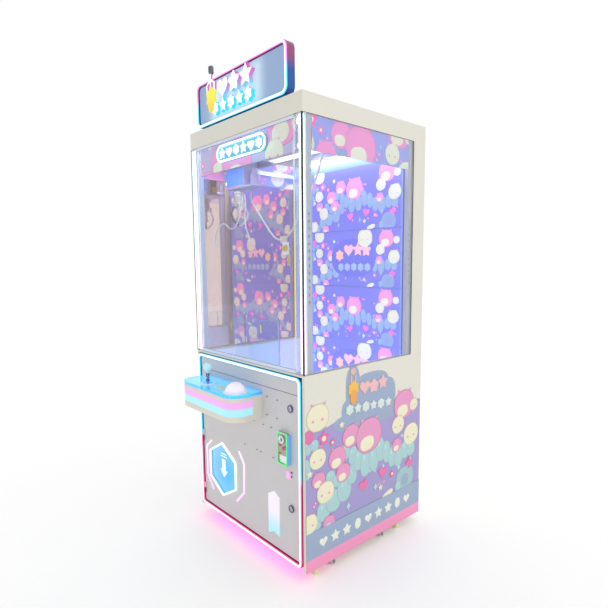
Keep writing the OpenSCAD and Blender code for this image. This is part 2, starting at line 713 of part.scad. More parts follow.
module hoist_drum() {
    color("DimGray") translate([claw_x, claw_y + 16.5, drum_z]) rotate([0, 90, 0]) {
        translate([0, 0, -40]) cylinder(h = 80, r = 15);
        for (z = [-41.5, 38.5]) translate([0, 0, z]) cylinder(h = 3, r = 16.5);
        translate([0, 0, -47]) cylinder(h = 94, r = 4);
    }
}
module hoist_string() {
    color("White") translate([claw_x, claw_y, claw_top + 10]) cylinder(h = drum_z - claw_top - 10, r = 1.2, $fn = 16);
}
module claw_housing() {
    color("Gainsboro") translate([claw_x, claw_y, 0]) {
        difference() {
            union() {
                translate([0, 0, claw_top - 62]) cylinder(h = 62, r = 25);
                translate([0, 0, claw_top - 1]) cylinder(h = 4, r = 16);
                translate([0, 0, claw_top]) cylinder(h = 9.7, r = 6);
                for (a = finger_angles) rotate(a) box([18, -7, finger_pivot[1] - 6], [36, 7, claw_top - 50]);
                for (z = [claw_top - 24, claw_top - 12]) translate([0, 0, z - 4.5]) rotate([0, 90, 0])
                    translate([-4.5, 0, 24]) cylinder(h = 1, r = 3.5);
            }
            translate([0, 0, claw_top - 80]) cylinder(h = 74, r = 11);
            for (a = finger_angles) rotate(a) box([20, -2.6, finger_pivot[1] - 8], [38, 2.6, finger_pivot[1] + 8]);
        }
        for (a = finger_angles) rotate(a) rod_y(finger_pivot[0], finger_pivot[1], -6.5, 6.5, 1.5);
    }
}
module claw_plunger() {
    color("Silver") translate([claw_x, claw_y, 0]) {
        translate([0, 0, claw_top - 120]) cylinder(h = 98, r = 10.92);
        translate([0, 0, claw_top - 126]) cylinder(h = 10, r = 14);
    }
}
module claw_finger(i) {
    knee = (finger_elbow + finger_tip) / 2 + [7, -4];
    color(i == 2 ? "DimGray" : "Silver") translate([claw_x, claw_y, 0]) rotate(finger_angles[i]) {
        slab_y(-2.2, 2.2) difference() {
            union() {
                translate(finger_pivot) circle(4.8);
                polygon(stroke([finger_pivot, finger_elbow, knee, finger_tip], 7.4));
            }
            translate(finger_pivot) circle(1.55);
        }
        // the broad blade below the elbow
        slab_y(-6, 6) polygon(stroke([finger_elbow, knee, finger_tip], 4.6));
    }
}
module festoon_cable() {
    color("White") tube(smooth(festoon_route, 4), cable_r);
}
module plug_lead() {
    color("White") tube(smooth(plug_route, 4), lead_r);
}
module coil_lead() {
    color("White") tube(smooth(coil_route, 4), lead_r);
}
module lead_connectors() {
    color("WhiteSmoke") {
        box([-136, -183, 1434], [-120, -167, 1467.7]);
        box([-329, -253, 1436], [-315, -239, 1461.7]);
    }
}

// ---------- castors ----------
function castor_xy(i) = [(i % 2 == 0 ? 1 : -1) * castor_x, castor_ys[i < 2 ? 0 : 1]];
module castor_fork(i) {
    color("Silver") translate([castor_xy(i)[0], castor_xy(i)[1], 0]) {
        difference() {
            union() {
                translate([0, 0, 54]) cylinder(h = pan_z - 2.4 - 54, r = 13);
                box([-10, -13.5, 54], [castor_trail + 9, 13.5, 57]);
            }
            translate([0, 0, 50]) cylinder(h = 40, r = 5.05);
        }
        for (s = [-1, 1]) slab_y(s * 12.5 - 1, s * 12.5 + 1)
            polygon([[castor_trail - 8, axle_z - 7], [castor_trail + 8, axle_z - 7], [castor_trail + 9, 57], [-10, 57]]);
        rod_y(castor_trail, axle_z, -14.5, 14.5, 3);
    }
}
module castor_wheel(i) {
    color("Khaki") translate([castor_xy(i)[0] + castor_trail, castor_xy(i)[1], axle_z]) rotate([90, 0, 0])
        rotate_extrude() polygon([[3.05, -11], [8, -11], [8, -8], [15, -8], [16, -10], [22, -10], [wheel_d / 2, -7],
            [wheel_d / 2, 7], [22, 10], [16, 10], [15, 8], [8, 8], [8, 11], [3.05, 11]]);
}

// ---------- one line for each node ----------
base_pan();
side_panels();
rear_shell();
front_apron();
front_surround();
sill_frame();
prize_bed();
chute_duct();
chute_guard();
back_wall();
side_glass_left();
fixed_glass();
slotted_uprights();
header();
banner_boards();
gantry_rails();
marquee_frame();
marquee_panel();
marquee_emblem();
power_unit();
levelling_feet();
window_glass();
window_frame();
window_lock();
door_panel();
console_shell();
console_top();
console_light_band();
door_lights();
coin_unit();
lock_upper();
lock_lower();
prize_flap();
gimbal_ring();
joystick();
play_button();
coin_reject_button();
coin_return_flap();
gantry_beam();
carriage_chassis();
carriage_cover();
hoist_drum();
hoist_string();
claw_housing();
claw_plunger();
claw_finger(0);  // claw_finger_1
claw_finger(1);  // claw_finger_2
claw_finger(2);  // claw_finger_3
festoon_cable();
plug_lead();
coil_lead();
lead_connectors();
castor_fork(0);  // castor_fork_1
castor_fork(1);  // castor_fork_2
castor_fork(2);  // castor_fork_3
castor_fork(3);  // castor_fork_4
castor_wheel(0);  // castor_wheel_1
castor_wheel(1);  // castor_wheel_2
castor_wheel(2);  // castor_wheel_3
castor_wheel(3);  // castor_wheel_4
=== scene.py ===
# %% [markdown]
# # A claw crane machine, finished in Blender
# The metal and board frame comes from the part's own CAD model, so every piece here is placed from
# its boxes. This first cell loads that frame and keeps the CAD box, because looks may not change size.
import math

import bmesh
import bpy
import numpy as np
from mathutils import Matrix, Vector


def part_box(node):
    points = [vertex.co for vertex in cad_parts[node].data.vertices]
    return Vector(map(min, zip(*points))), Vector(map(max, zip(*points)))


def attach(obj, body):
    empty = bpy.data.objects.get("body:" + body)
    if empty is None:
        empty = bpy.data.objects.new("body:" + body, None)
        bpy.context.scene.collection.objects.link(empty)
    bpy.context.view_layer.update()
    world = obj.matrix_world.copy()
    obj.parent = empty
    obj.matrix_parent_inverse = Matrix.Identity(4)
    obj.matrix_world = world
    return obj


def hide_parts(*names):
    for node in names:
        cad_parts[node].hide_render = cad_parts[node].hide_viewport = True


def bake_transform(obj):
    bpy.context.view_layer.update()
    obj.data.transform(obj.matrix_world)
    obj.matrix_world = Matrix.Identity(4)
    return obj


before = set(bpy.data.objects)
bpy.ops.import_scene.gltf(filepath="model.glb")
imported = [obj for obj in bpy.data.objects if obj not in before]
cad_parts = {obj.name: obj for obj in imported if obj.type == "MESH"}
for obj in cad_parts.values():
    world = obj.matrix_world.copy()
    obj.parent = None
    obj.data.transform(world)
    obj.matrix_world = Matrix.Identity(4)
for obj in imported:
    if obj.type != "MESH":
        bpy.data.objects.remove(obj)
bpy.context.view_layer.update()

MM = 0.001


def low_high(node):
    """The lowest and highest corner of a CAD node, as two arrays."""
    lo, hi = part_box(node)
    return np.array(lo), np.array(hi)


front_y = low_high("side_panels")[0][1]
rear_y = low_high("side_panels")[1][1]
half_w = low_high("side_panels")[1][0]
sill_z = low_high("side_panels")[1][2]
header_z = low_high("header")[0][2] + 11 * MM
roof_z = low_high("header")[1][2]
print("cabinet", round(2 * half_w, 3), "wide,", round(rear_y - front_y, 3), "deep; frame nodes",
      len(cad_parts))

# %% [markdown]
# ## The camera
# A camera has a place, a direction and a lens. The place and direction are given as one point and two
# turns, and a small shift keeps the uprights parallel, as a view camera does.

# %% Camera
camera_at = Vector((1.8862, -1.5676, 1.3499))
turn, tip, roll = math.radians(47.569), math.radians(-6.796), math.radians(0.303)
camera_data = bpy.data.cameras.new("camera")
camera_data.sensor_width = 36
camera_data.lens = 28.90
camera_data.shift_x = -0.0226
camera_data.shift_y = 0.0292
camera = bpy.data.objects.new("camera", camera_data)
bpy.context.scene.collection.objects.link(camera)
looking = Vector((-math.sin(turn) * math.cos(tip), math.cos(turn) * math.cos(tip), math.sin(tip)))
camera.matrix_world = (Matrix.Translation(camera_at) @ Matrix.Rotation(roll, 4, looking)
                       @ looking.to_track_quat("-Z", "Y").to_matrix().to_4x4())
bpy.context.scene.camera = camera
bpy.context.scene.view_settings.view_transform = "Standard"
print("camera looks along", [round(c, 3) for c in looking])

# %% [markdown]
# ## Surfaces from formulas
# Each new piece is a grid of points worked out at once with numpy. A sweep carries a small outline along
# a path, a turned piece spins an outline round an axis, and a plate gives an outline thickness. Writing
# these helpers once keeps every piece below to a few lines.

# %% Helpers that make meshes
def put(name, points, faces, finish, smooth=True, merge=True):
    """A mesh object at the origin from points and faces; doubles are merged and its faces turned outwards."""
    mesh = bpy.data.meshes.new(name)
    mesh.from_pydata(np.asarray(points).tolist(), [], [list(map(int, f)) for f in faces])
    if merge:
        work = bmesh.new()
        work.from_mesh(mesh)
        bmesh.ops.remove_doubles(work, verts=work.verts, dist=1e-6)
        bmesh.ops.recalc_face_normals(work, faces=work.faces)
        work.to_mesh(mesh)
        work.free()
    mesh.polygons.foreach_set("use_smooth", [smooth] * len(mesh.polygons))
    piece = bpy.data.objects.new(name, mesh)
    bpy.context.scene.collection.objects.link(piece)
    if finish is not None:
        mesh.materials.append(finish)
    return piece


def grid_faces(rows, cols, wrap_rows=False, wrap_cols=False):
    """Quads of a grid whose point (i, j) is number i * cols + j, joined round where asked."""
    i = np.arange(rows if wrap_rows else rows - 1)[:, None]
    j = np.arange(cols if wrap_cols else cols - 1)[None, :]
    k, m = (i + 1) % rows, (j + 1) % cols
    return np.stack(np.broadcast_arrays(i * cols + j, i * cols + m, k * cols + m, k * cols + j),
                    -1).reshape(-1, 4)


def join_parts(parts):
    """One list of points and one of faces from several (points, faces) pairs."""
    points, faces, start = [], [], 0
    for p, f in parts:
        points.append(np.asarray(p, float).reshape(-1, 3))
        faces += [[int(v) + start for v in face] for face in f]
        start += len(points[-1])
    return np.vstack(points), faces


def turned(outline, origin, axis="z", sides=40):
    """An outline of (radius, height) pairs spun round an axis through origin: (r cos t, r sin t, h)."""
    outline = np.asarray(outline, float)
    t = np.linspace(0, 2 * np.pi, sides, endpoint=False)[:, None]
    r, h = outline[None, :, 0], outline[None, :, 1]
    x, y, z = r * np.cos(t), r * np.sin(t), np.broadcast_to(h, (sides, len(outline)))
    order = {"z": (x, y, z), "y": (x, z, -y), "-y": (x, -z, y), "x": (z, x, y)}[axis]
    return np.stack(order, -1).reshape(-1, 3) + np.asarray(origin, float), grid_faces(sides, len(outline),
        True)


def plate(outline, low, high, axis="y"):
    """A flat outline (n, 2) given thickness from low to high; both ends are fans from the middle."""
    outline = np.asarray(outline, float)
    n = len(outline)
    middle = outline.mean(0)
    flat = np.vstack([outline, outline, middle, middle])
    level = np.r_[np.full(n, low), np.full(n, high), low, high]
    cols = {"y": (flat[:, 0], level, flat[:, 1]), "x": (level, flat[:, 0], flat[:, 1]),
            "z": (flat[:, 0], flat[:, 1], level)}[axis]
    i = np.arange(n)
    k = (i + 1) % n
    faces = [[a, b, b + n, a + n] for a, b in zip(i, k)]
    faces += [[b, a, 2 * n] for a, b in zip(i, k)] + [[a + n, b + n, 2 * n + 1] for a, b in zip(i, k)]
    return np.stack(cols, -1), faces


def round_rectangle(x0, x1, z0, z1, r, steps=8):
    """Points round a rectangle with round corners, counterclockwise, and the outward direction at each."""
    t = np.linspace(0, np.pi / 2, steps)
    corners = [(x1 - r, z1 - r, 0), (x0 + r, z1 - r, 1), (x0 + r, z0 + r, 2), (x1 - r, z0 + r, 3)]
    out = np.vstack([np.stack([np.cos(t + k * np.pi / 2), np.sin(t + k * np.pi / 2)], -1)
                     for _, _, k in corners])
    mid = np.vstack([np.tile((cx, cz), (steps, 1)) for cx, cz, _ in corners])
    return mid + r * out, out


def swept_ring(x0, x1, z0, z1, r, section, steps=8):
    """A section of (outward, y) pairs carried round a round-cornered rectangle that stands in X and Z."""
    path, out = round_rectangle(x0, x1, z0, z1, r, steps)
    section = np.asarray(section, float)
    xz = path[:, None, :] + out[:, None, :] * section[None, :, :1]
    y = np.broadcast_to(section[None, :, 1], xz.shape[:2])
    points = np.stack([xz[..., 0], y, xz[..., 1]], -1).reshape(-1, 3)
    return points, grid_faces(len(path), len(section), True, True)


def smooth_line(knots, steps):
    """A Catmull-Rom curve through the knots: each stretch is a cubic blend of the four knots round it."""
    p = np.vstack([knots[:1], knots, knots[-1:]]).astype(float)
    t = (np.arange(steps) / steps)[None, :, None]
    a, b, c, d = (p[i:len(p) - 3 + i][:, None, :] for i in range(4))
    curve = 0.5 * (2 * b + (c - a) * t + (2 * a - 5 * b + 4 * c - d) * t ** 2 + (3 * b - a - 3 * c + d)
                   * t ** 3)
    return np.vstack([curve.reshape(-1, 3), knots[-1:]])


def tube(path, radius, sides=12):
    """A round tube along a path: at each point a circle stands square to the direction of travel."""
    ahead = np.gradient(path, axis=0)
    ahead /= np.linalg.norm(ahead, axis=1)[:, None]
    side = np.cross([0.0, 1.0, 0.0], ahead)
    side /= np.linalg.norm(side, axis=1)[:, None]
    up = np.cross(ahead, side)
    t = np.linspace(0, 2 * np.pi, sides, endpoint=False)[None, :, None]
    points = path[:, None, :] + radius * (np.cos(t) * side[:, None, :] + np.sin(t) * up[:, None, :])
    faces = grid_faces(len(path), sides, False, True).tolist()
    last = (len(path) - 1) * sides
    faces += [list(range(sides))[::-1], list(range(last, last + sides))]
    return points.reshape(-1, 3), faces


def block(lo, hi):
    """The eight corners and six faces of a box; a Bevel modifier rounds it afterwards."""
    x, y, z = zip(lo, hi)
    points = [(x[i], y[j], z[k]) for i in (0, 1) for j in (0, 1) for k in (0, 1)]
    return np.array(points), [(0, 1, 3, 2), (4, 6, 7, 5), (0, 4, 5, 1), (2, 3, 7, 6), (0, 2, 6, 4),
                              (1, 5, 7, 3)]


def round_edges(piece, width, segments=3):
    """Rounds a piece's sharp edges by width, and keeps its big faces flat-shaded."""
    bevel = piece.modifiers.new("round edges", "BEVEL")
    bevel.width = width
    bevel.segments = segments
    bevel.limit_method = "ANGLE"
    bevel.harden_normals = True
    return piece


def fit(piece, body, slot_name, *nodes):
    """The piece rides on a body and may stand for CAD nodes, which it hides; slot_name is not used."""
    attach(piece, body)
    if nodes:
        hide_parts(*nodes)
    return piece


print("helpers ready")

# %% [markdown]
# ## Node groups that the finishes share
# Real surfaces are never one even colour. Three small groups give the effects that many finishes here
# need: a fine coating grain, faint wipe marks, and dust that settles on faces that look up. Each puts out
# only a mask or a height, so any finish can use it with its own strength.

# %% Shared node groups
def new_group(name, inputs, outputs):
    """An empty shader group with named float inputs and outputs."""
    group = bpy.data.node_groups.new(name, "ShaderNodeTree")
    for label, default in inputs:
        socket = group.interface.new_socket(label, in_out="INPUT", socket_type="NodeSocketFloat")
        socket.default_value = default
    for label in outputs:
        group.interface.new_socket(label, in_out="OUTPUT", socket_type="NodeSocketFloat")
    return group, group.nodes.new("NodeGroupInput"), group.nodes.new("NodeGroupOutput")


def math_node(tree, operation, a, b=None, clamp=False):
    """A Math node; each of a and b is a socket or a number."""
    node = tree.nodes.new("ShaderNodeMath")
    node.operation = operation
    node.use_clamp = clamp
    for index, value in enumerate((a, b)):
        if value is None:
            continue
        if isinstance(value, (int, float)):
            node.inputs[index].default_value = value
        else:
            tree.links.new(value, node.inputs[index])
    return node.outputs[0]


def noise_node(tree, vector, scale, detail=3.0, stretch=None):
    """Noise at a scale, on coordinates that may be stretched first; scale is a socket or a number."""
    if stretch:
        mapping = tree.nodes.new("ShaderNodeMapping")
        mapping.inputs["Scale"].default_value = stretch
        tree.links.new(vector, mapping.inputs["Vector"])
        vector = mapping.outputs["Vector"]
    noise = tree.nodes.new("ShaderNodeTexNoise")
    noise.inputs["Detail"].default_value = detail
    tree.links.new(vector, noise.inputs["Vector"])
    if isinstance(scale, (int, float)):
        noise.inputs["Scale"].default_value = scale
    else:
        tree.links.new(scale, noise.inputs["Scale"])
    return noise.outputs["Fac"]


def object_place(tree):
    """The Object coordinate socket of a new Texture Coordinate node."""
    return tree.nodes.new("ShaderNodeTexCoord").outputs["Object"]


coat_grain, gi, go = new_group("coating grain", [("Scale", 900.0)], ["Height"])
fine = noise_node(coat_grain, object_place(coat_grain), gi.outputs["Scale"], 2.0)
broad = noise_node(coat_grain, object_place(coat_grain), 60.0, 2.0)
coat_grain.links.new(math_node(coat_grain, "ADD", fine, math_node(coat_grain, "MULTIPLY", broad, 0.3)),
                     go.inputs["Height"])

wipe_marks, gi, go = new_group("wipe marks", [("Amount", 1.0)], ["Mask"])
cloudy = noise_node(wipe_marks, object_place(wipe_marks), 5.0, 4.0)
streaks = noise_node(wipe_marks, object_place(wipe_marks), 14.0, 6.0, (1.0, 1.0, 0.12))
mix = math_node(wipe_marks, "MULTIPLY", cloudy, streaks)
spread = math_node(wipe_marks, "MULTIPLY", math_node(wipe_marks, "SUBTRACT", mix, 0.16), 4.0, True)
wipe_marks.links.new(math_node(wipe_marks, "MULTIPLY", spread, gi.outputs["Amount"]), go.inputs["Mask"])

settled_dust, gi, go = new_group("settled dust", [("Amount", 0.3)], ["Mask"])
facing = settled_dust.nodes.new("ShaderNodeSeparateXYZ")
settled_dust.links.new(settled_dust.nodes.new("ShaderNodeNewGeometry").outputs["Normal"], facing.inputs[0])
upward = math_node(settled_dust, "MULTIPLY", math_node(settled_dust, "SUBTRACT", facing.outputs["Z"], 0.6),
                   2.5, True)
speck = noise_node(settled_dust, object_place(settled_dust), 40.0, 5.0)
dusty = math_node(settled_dust, "MULTIPLY", upward, speck)
settled_dust.links.new(math_node(settled_dust, "MULTIPLY", dusty, gi.outputs["Amount"]), go.inputs["Mask"])
print("groups:", [g.name for g in bpy.data.node_groups])

# %% [markdown]
# ## Finishes for boards, metals and plastics
# One function lays out the usual finish: two close tones mixed by a slow noise, a roughness that the
# wipe marks disturb, a little dust, and a bump from the coating grain. Values that are the same all over
# sit on the shader's own sockets.

# %% The plain finishes
def new_finish(name):
    """An empty material with its Principled shader, its tree and the Object coordinates."""
    material = bpy.data.materials.new(name)
    material.use_nodes = True
    tree = material.node_tree
    return material, tree, tree.nodes["Principled BSDF"], object_place(tree)


def group_node(tree, group, **values):
    """A shared group placed in a tree, with its own values."""
    node = tree.nodes.new("ShaderNodeGroup")
    node.node_tree = group
    for label, value in values.items():
        node.inputs[label].default_value = value
    return node.outputs[0]


def mix_colour(tree, factor, a, b):
    """A colour mix; factor, a and b are sockets or values."""
    node = tree.nodes.new("ShaderNodeMix")
    node.data_type = "RGBA"
    for index, value in ((0, factor), (6, a), (7, b)):
        if isinstance(value, bpy.types.NodeSocket):
            tree.links.new(value, node.inputs[index])
        else:
            node.inputs[index].default_value = value if index == 0 else (*value[:3], 1)
    return node.outputs[2]


def bump(tree, shader, height, strength, distance=0.001):
    """A Bump node from a height to the shader's normal."""
    node = tree.nodes.new("ShaderNodeBump")
    node.inputs["Strength"].default_value = strength
    node.inputs["Distance"].default_value = distance
    tree.links.new(height, node.inputs["Height"])
    tree.links.new(node.outputs["Normal"], shader.inputs["Normal"])


def wiped(tree, shader, amount, rough):
    """Roughness: one number, raised a little where the wipe marks are."""
    marks = group_node(tree, wipe_marks, Amount=amount)
    tree.links.new(math_node(tree, "ADD", marks, rough), shader.inputs["Roughness"])


def glowing(tree, shader, tone, strength, share=0.5):
    """Light of a tone at a strength; the surface under it keeps only a share of that tone."""
    tree.links.new(tone, shader.inputs["Emission Color"])
    shader.inputs["Emission Strength"].default_value = strength
    tree.links.new(mix_colour(tree, share, (0.0, 0.0, 0.0), tone), shader.inputs["Base Color"])


def finish(name, tone, other, rough, metal=0.0, grain=900.0, depth=0.08, dust=0.25, coat=0.0, glow=0.0,
           clear=0.0, stretch=None, film=0.0):
    """Two close tones, wiped and dusted, with a fine grain; stretch brushes the tone along an axis."""
    material, tree, shader, place = new_finish(name)
    slow = noise_node(tree, place, 7.0 if stretch is None else 60.0, 4.0, stretch)
    colour = mix_colour(tree, slow, tone, other)
    colour = mix_colour(tree, group_node(tree, settled_dust, Amount=dust), colour, (0.80, 0.79, 0.78))
    tree.links.new(colour, shader.inputs["Base Color"])
    wiped(tree, shader, 0.16, rough)
    shader.inputs["Metallic"].default_value = metal
    shader.inputs["Coat Weight"].default_value = coat
    shader.inputs["Coat Roughness"].default_value = 0.08
    shader.inputs["Transmission Weight"].default_value = clear
    if glow:
        tree.links.new(colour, shader.inputs["Emission Color"])
        shader.inputs["Emission Strength"].default_value = glow
    if film:
        shader.inputs["Thin Film Thickness"].default_value = film
        shader.inputs["Thin Film IOR"].default_value = 1.6
    bump(tree, shader, group_node(tree, coat_grain, Scale=grain), depth)
    return material


cream_paint = finish("cream paint", (0.80, 0.775, 0.68), (0.83, 0.805, 0.71), 0.38, coat=0.15)
door_paint = finish("pale grey door paint", (0.66, 0.645, 0.655), (0.70, 0.69, 0.70), 0.34, grain=1400.0,
                    depth=0.12)
# The deck glows at 0.35 though it is no lamp: painted light from the cabin lamps.
deck_laminate = finish("pale blue deck laminate", (0.74, 0.80, 0.98), (0.78, 0.84, 0.98), 0.5, dust=0.0,
                       glow=0.35)
backing_blue = finish("back wall edge", (0.16, 0.26, 0.80), (0.20, 0.30, 0.86), 0.4, glow=0.2)
bare_board = finish("bare board", (0.52, 0.40, 0.27), (0.60, 0.48, 0.33), 0.62, stretch=(0.1, 1.0, 1.0),
                    depth=0.3)
brushed_metal = finish("brushed metal", (0.62, 0.63, 0.66), (0.74, 0.75, 0.78), 0.26, 0.95,
                       stretch=(0.02, 1.0, 1.0), depth=0.05)
zinc_plate = finish("zinc plate", (0.66, 0.67, 0.70), (0.76, 0.77, 0.80), 0.34, 0.9, dust=0.5)
white_enamel = finish("white enamel", (0.72, 0.79, 0.95), (0.78, 0.84, 0.98), 0.3, coat=0.3)
crane_enamel = finish("pale blue crane enamel", (0.50, 0.58, 0.82), (0.56, 0.64, 0.86), 0.3, coat=0.3)
chrome_finish = finish("polished chrome", (0.80, 0.81, 0.84), (0.86, 0.87, 0.89), 0.06, 1.0, depth=0.02,
                       dust=0.1)
satin_coil = finish("satin claw housing", (0.74, 0.75, 0.78), (0.82, 0.83, 0.85), 0.22, 1.0,
                    stretch=(1.0, 1.0, 0.04), depth=0.04, dust=0.1)
dark_nickel = finish("dark nickel", (0.14, 0.16, 0.19), (0.20, 0.22, 0.26), 0.2, 0.9)
brass_finish = finish("satin brass", (0.72, 0.50, 0.16), (0.80, 0.60, 0.24), 0.25, 1.0, depth=0.04)
black_moulding = finish("black moulding", (0.035, 0.035, 0.04), (0.055, 0.055, 0.06), 0.45, depth=0.25,
                        dust=0.6)
red_moulding = finish("red moulding", (0.55, 0.04, 0.05), (0.62, 0.06, 0.07), 0.25, coat=0.4)
white_lead = finish("white lead", (0.82, 0.83, 0.85), (0.88, 0.88, 0.90), 0.4, depth=0.03)
string_finish = finish("white cord", (0.85, 0.85, 0.86), (0.75, 0.75, 0.77), 0.8, grain=2500.0, depth=0.5)
cream_tread = finish("cream castor tread", (0.80, 0.73, 0.42), (0.86, 0.80, 0.52), 0.42, depth=0.1)
coin_casting = finish("die-cast coin face", (0.44, 0.36, 0.33), (0.54, 0.46, 0.43), 0.28, 0.7, depth=0.15)
ring_violet = finish("violet lock ring", (0.05, 0.045, 0.26), (0.09, 0.08, 0.36), 0.2, 0.4, coat=0.5)
lock_core = finish("lock core", (0.50, 0.46, 0.40), (0.60, 0.56, 0.50), 0.3, 0.8)
# The duct sheet glows at 0.22 though it is no lamp: painted light.
galvanised = finish("pale duct sheet", (0.66, 0.72, 0.84), (0.72, 0.78, 0.88), 0.4, 0.2, grain=120.0,
                    glow=0.22)
stick_violet = finish("violet joystick shaft", (0.30, 0.26, 0.78), (0.40, 0.36, 0.88), 0.15, coat=0.6)
pale_oval = finish("pale oval plate", (0.80, 0.86, 0.82), (0.86, 0.90, 0.86), 0.3, coat=0.5)
print(len(bpy.data.materials), "finishes")

# %% [markdown]
# ## Blends from one colour to another
# The channel round the front changes from deep blue at the top to maroon near the floor, and the light
# in it from cyan to magenta; the maroon is painted light from the tube's magenta on the dark blue
# channel. A Map Range on the height, read from Object coordinates, drives the blend.

# %% Height blends and lit finishes
def by_height(tree, place, low, high, axis="Z"):
    """0 below low and 1 above high, along one axis of the Object coordinates."""
    parts = tree.nodes.new("ShaderNodeSeparateXYZ")
    tree.links.new(place, parts.inputs[0])
    remap = tree.nodes.new("ShaderNodeMapRange")
    remap.interpolation_type = "SMOOTHSTEP"
    remap.inputs["From Min"].default_value = low
    remap.inputs["From Max"].default_value = high
    tree.links.new(parts.outputs[axis], remap.inputs["Value"])
    return remap.outputs["Result"]


def side_mask(tree, axis="Z", low=0.35, high=0.75):
    """1 on faces that look along an axis, 0 on the faces round it."""
    parts = tree.nodes.new("ShaderNodeSeparateXYZ")
    tree.links.new(tree.nodes.new("ShaderNodeNewGeometry").outputs["Normal"], parts.inputs[0])
    remap = tree.nodes.new("ShaderNodeMapRange")
    remap.inputs["From Min"].default_value = low
    remap.inputs["From Max"].default_value = high
    tree.links.new(math_node(tree, "ABSOLUTE", parts.outputs[axis]), remap.inputs["Value"])
    return remap.outputs["Result"]


def lit(name, low_colour, high_colour, low, high, strength, core=None, rough=0.3, axis="Z", base=0.4):
    """A lit diffuser: its colour blends by height, and core is a whiter colour along the crown of a tube."""
    material, tree, shader, place = new_finish(name)
    colour = mix_colour(tree, by_height(tree, place, low, high, axis), low_colour, high_colour)
    if core:
        across = tree.nodes.new("ShaderNodeAttribute")
        across.attribute_name = "across"
        colour = mix_colour(tree, across.outputs["Fac"], core, colour)
    milky = noise_node(tree, place, 30.0, 2.0)
    glow = mix_colour(tree, math_node(tree, "MULTIPLY", milky, 0.12), colour, (1.0, 1.0, 1.0))
    glowing(tree, shader, glow, strength, base)
    wiped(tree, shader, 0.1, rough)
    bump(tree, shader, group_node(tree, coat_grain, Scale=600.0), 0.05)
    return material


cyan, magenta = (0.0, 0.72, 1.0), (1.0, 0.02, 0.32)
tube_light = lit("front light tube", magenta, cyan, 0.42, 0.47, 1.0, (1.0, 1.0, 1.0), base=0.2)
sign_light = lit("sign light tube", (0.1, 0.85, 1.0), (1.0, 0.22, 0.80), roof_z + 0.09, roof_z + 0.15, 1.0,
                 (1, 1, 1), base=0.2)
band_light = lit("console light band", (0.42, 0.92, 1.0), (0.94, 0.45, 0.94), 0.715, 0.726, 0.62)
pillar_light = lit("pillar light", (1.0, 0.78, 0.92), (0.76, 0.96, 1.0), 0.95, 1.6, 1.6)
ceiling_light = lit("ceiling lamp", (0.76, 0.85, 1.0), (0.76, 0.85, 1.0), 1.8, 1.95, 10.5)
floor_glow = lit("under glow strip", (1.0, 0.0, 0.55), (1.0, 0.0, 0.55), 0.0, 0.1, 9.0)
hex_light = lit("hexagon light", (0.62, 0.90, 1.0), (0.80, 0.96, 1.0), 0.2, 0.45, 0.9)
badge_light = lit("badge light", (0.0, 0.80, 1.0), (0.05, 0.85, 1.0), 1.82, 1.9, 2.6, (1, 1, 1), base=0.2)
badge_glyph = lit("badge glyph", (1.0, 1.0, 1.0), (1.0, 0.97, 1.0), 1.82, 1.9, 1.0)
green_light = lit("coin bezel light", (0.0, 0.85, 0.18), (0.05, 0.95, 0.30), 0.5, 0.64, 0.8)
coin_body = lit("coin unit side light", (0.85, 0.62, 0.95), (0.16, 0.52, 0.95), 0.49, 0.51, 0.42)


def channel(name, low_colour, high_colour, low, high):
    """Satin metal channel, dark blue, blending by height into a maroon that is painted light from its tube.
    """
    material, tree, shader, place = new_finish(name)
    tree.links.new(mix_colour(tree, by_height(tree, place, low, high), low_colour, high_colour),
                   shader.inputs["Base Color"])
    wiped(tree, shader, 0.15, 0.28)
    shader.inputs["Metallic"].default_value = 0.6
    bump(tree, shader, group_node(tree, coat_grain, Scale=1200.0), 0.06)
    return material


# Painted light: each channel is dark blue where its tube shines cyan and maroon where it shines magenta.
front_channel_painted_tube_light = channel("front channel", (0.30, 0.012, 0.08), (0.015, 0.10, 0.30), 0.40, 0.50)
sign_channel_painted_tube_light = channel("sign channel", (0.03, 0.12, 0.42), (0.34, 0.10, 0.22), roof_z + 0.09, roof_z + 0.16)


def light_tube_attribute(piece, sides, rows):
    """Writes 0 along the crown of a swept tube and 1 at its edges, as the section's own angle says."""
    across = piece.data.attributes.new("across", "FLOAT", "POINT")
    t = np.linspace(0, 2 * np.pi, sides, endpoint=False)
    edge = np.clip((np.abs(np.cos(t)) - 0.45) / 0.45, 0, 1) ** 1.2
    across.data.foreach_set("value", np.tile(edge, rows).astype(np.float32))


print("lit finishes ready")

# %% [markdown]
# ## Glass and clear plastic
# Panes are solid, so light bends in and out of them as in real glass. Their cut edges look dark green,
# because light runs the long way through them: a mask from the face's direction tints only those. The
# pane on the left is half mirrored by the bright cabin, so it is given some metal.

# %% Glass finishes
def pane(name, tone, edge, axis, metal=0.0, rough=0.0, ior=1.45, film=0.0, clear_inside=None):
    """Clear glass whose faces that don't look along axis, its cut edges, take the edge colour, except
    nearer the middle than clear_inside."""
    material, tree, shader, place = new_finish(name)
    faces = side_mask(tree, axis)
    if clear_inside:
        parts = tree.nodes.new("ShaderNodeSeparateXYZ")
        tree.links.new(place, parts.inputs[0])
        inner = math_node(tree, "LESS_THAN", math_node(tree, "ABSOLUTE", parts.outputs["X"]), clear_inside)
        faces = math_node(tree, "MAXIMUM", faces, inner)
    clean = mix_colour(tree, group_node(tree, wipe_marks, Amount=0.02), tone, (0.94, 0.96, 0.99))
    tree.links.new(mix_colour(tree, faces, edge, clean), shader.inputs["Base Color"])
    wiped(tree, shader, 0.02, rough)
    shader.inputs["Metallic"].default_value = metal
    shader.inputs["Transmission Weight"].default_value = 1.0
    shader.inputs["IOR"].default_value = ior
    if film:
        shader.inputs["Thin Film Thickness"].default_value = film
    return material


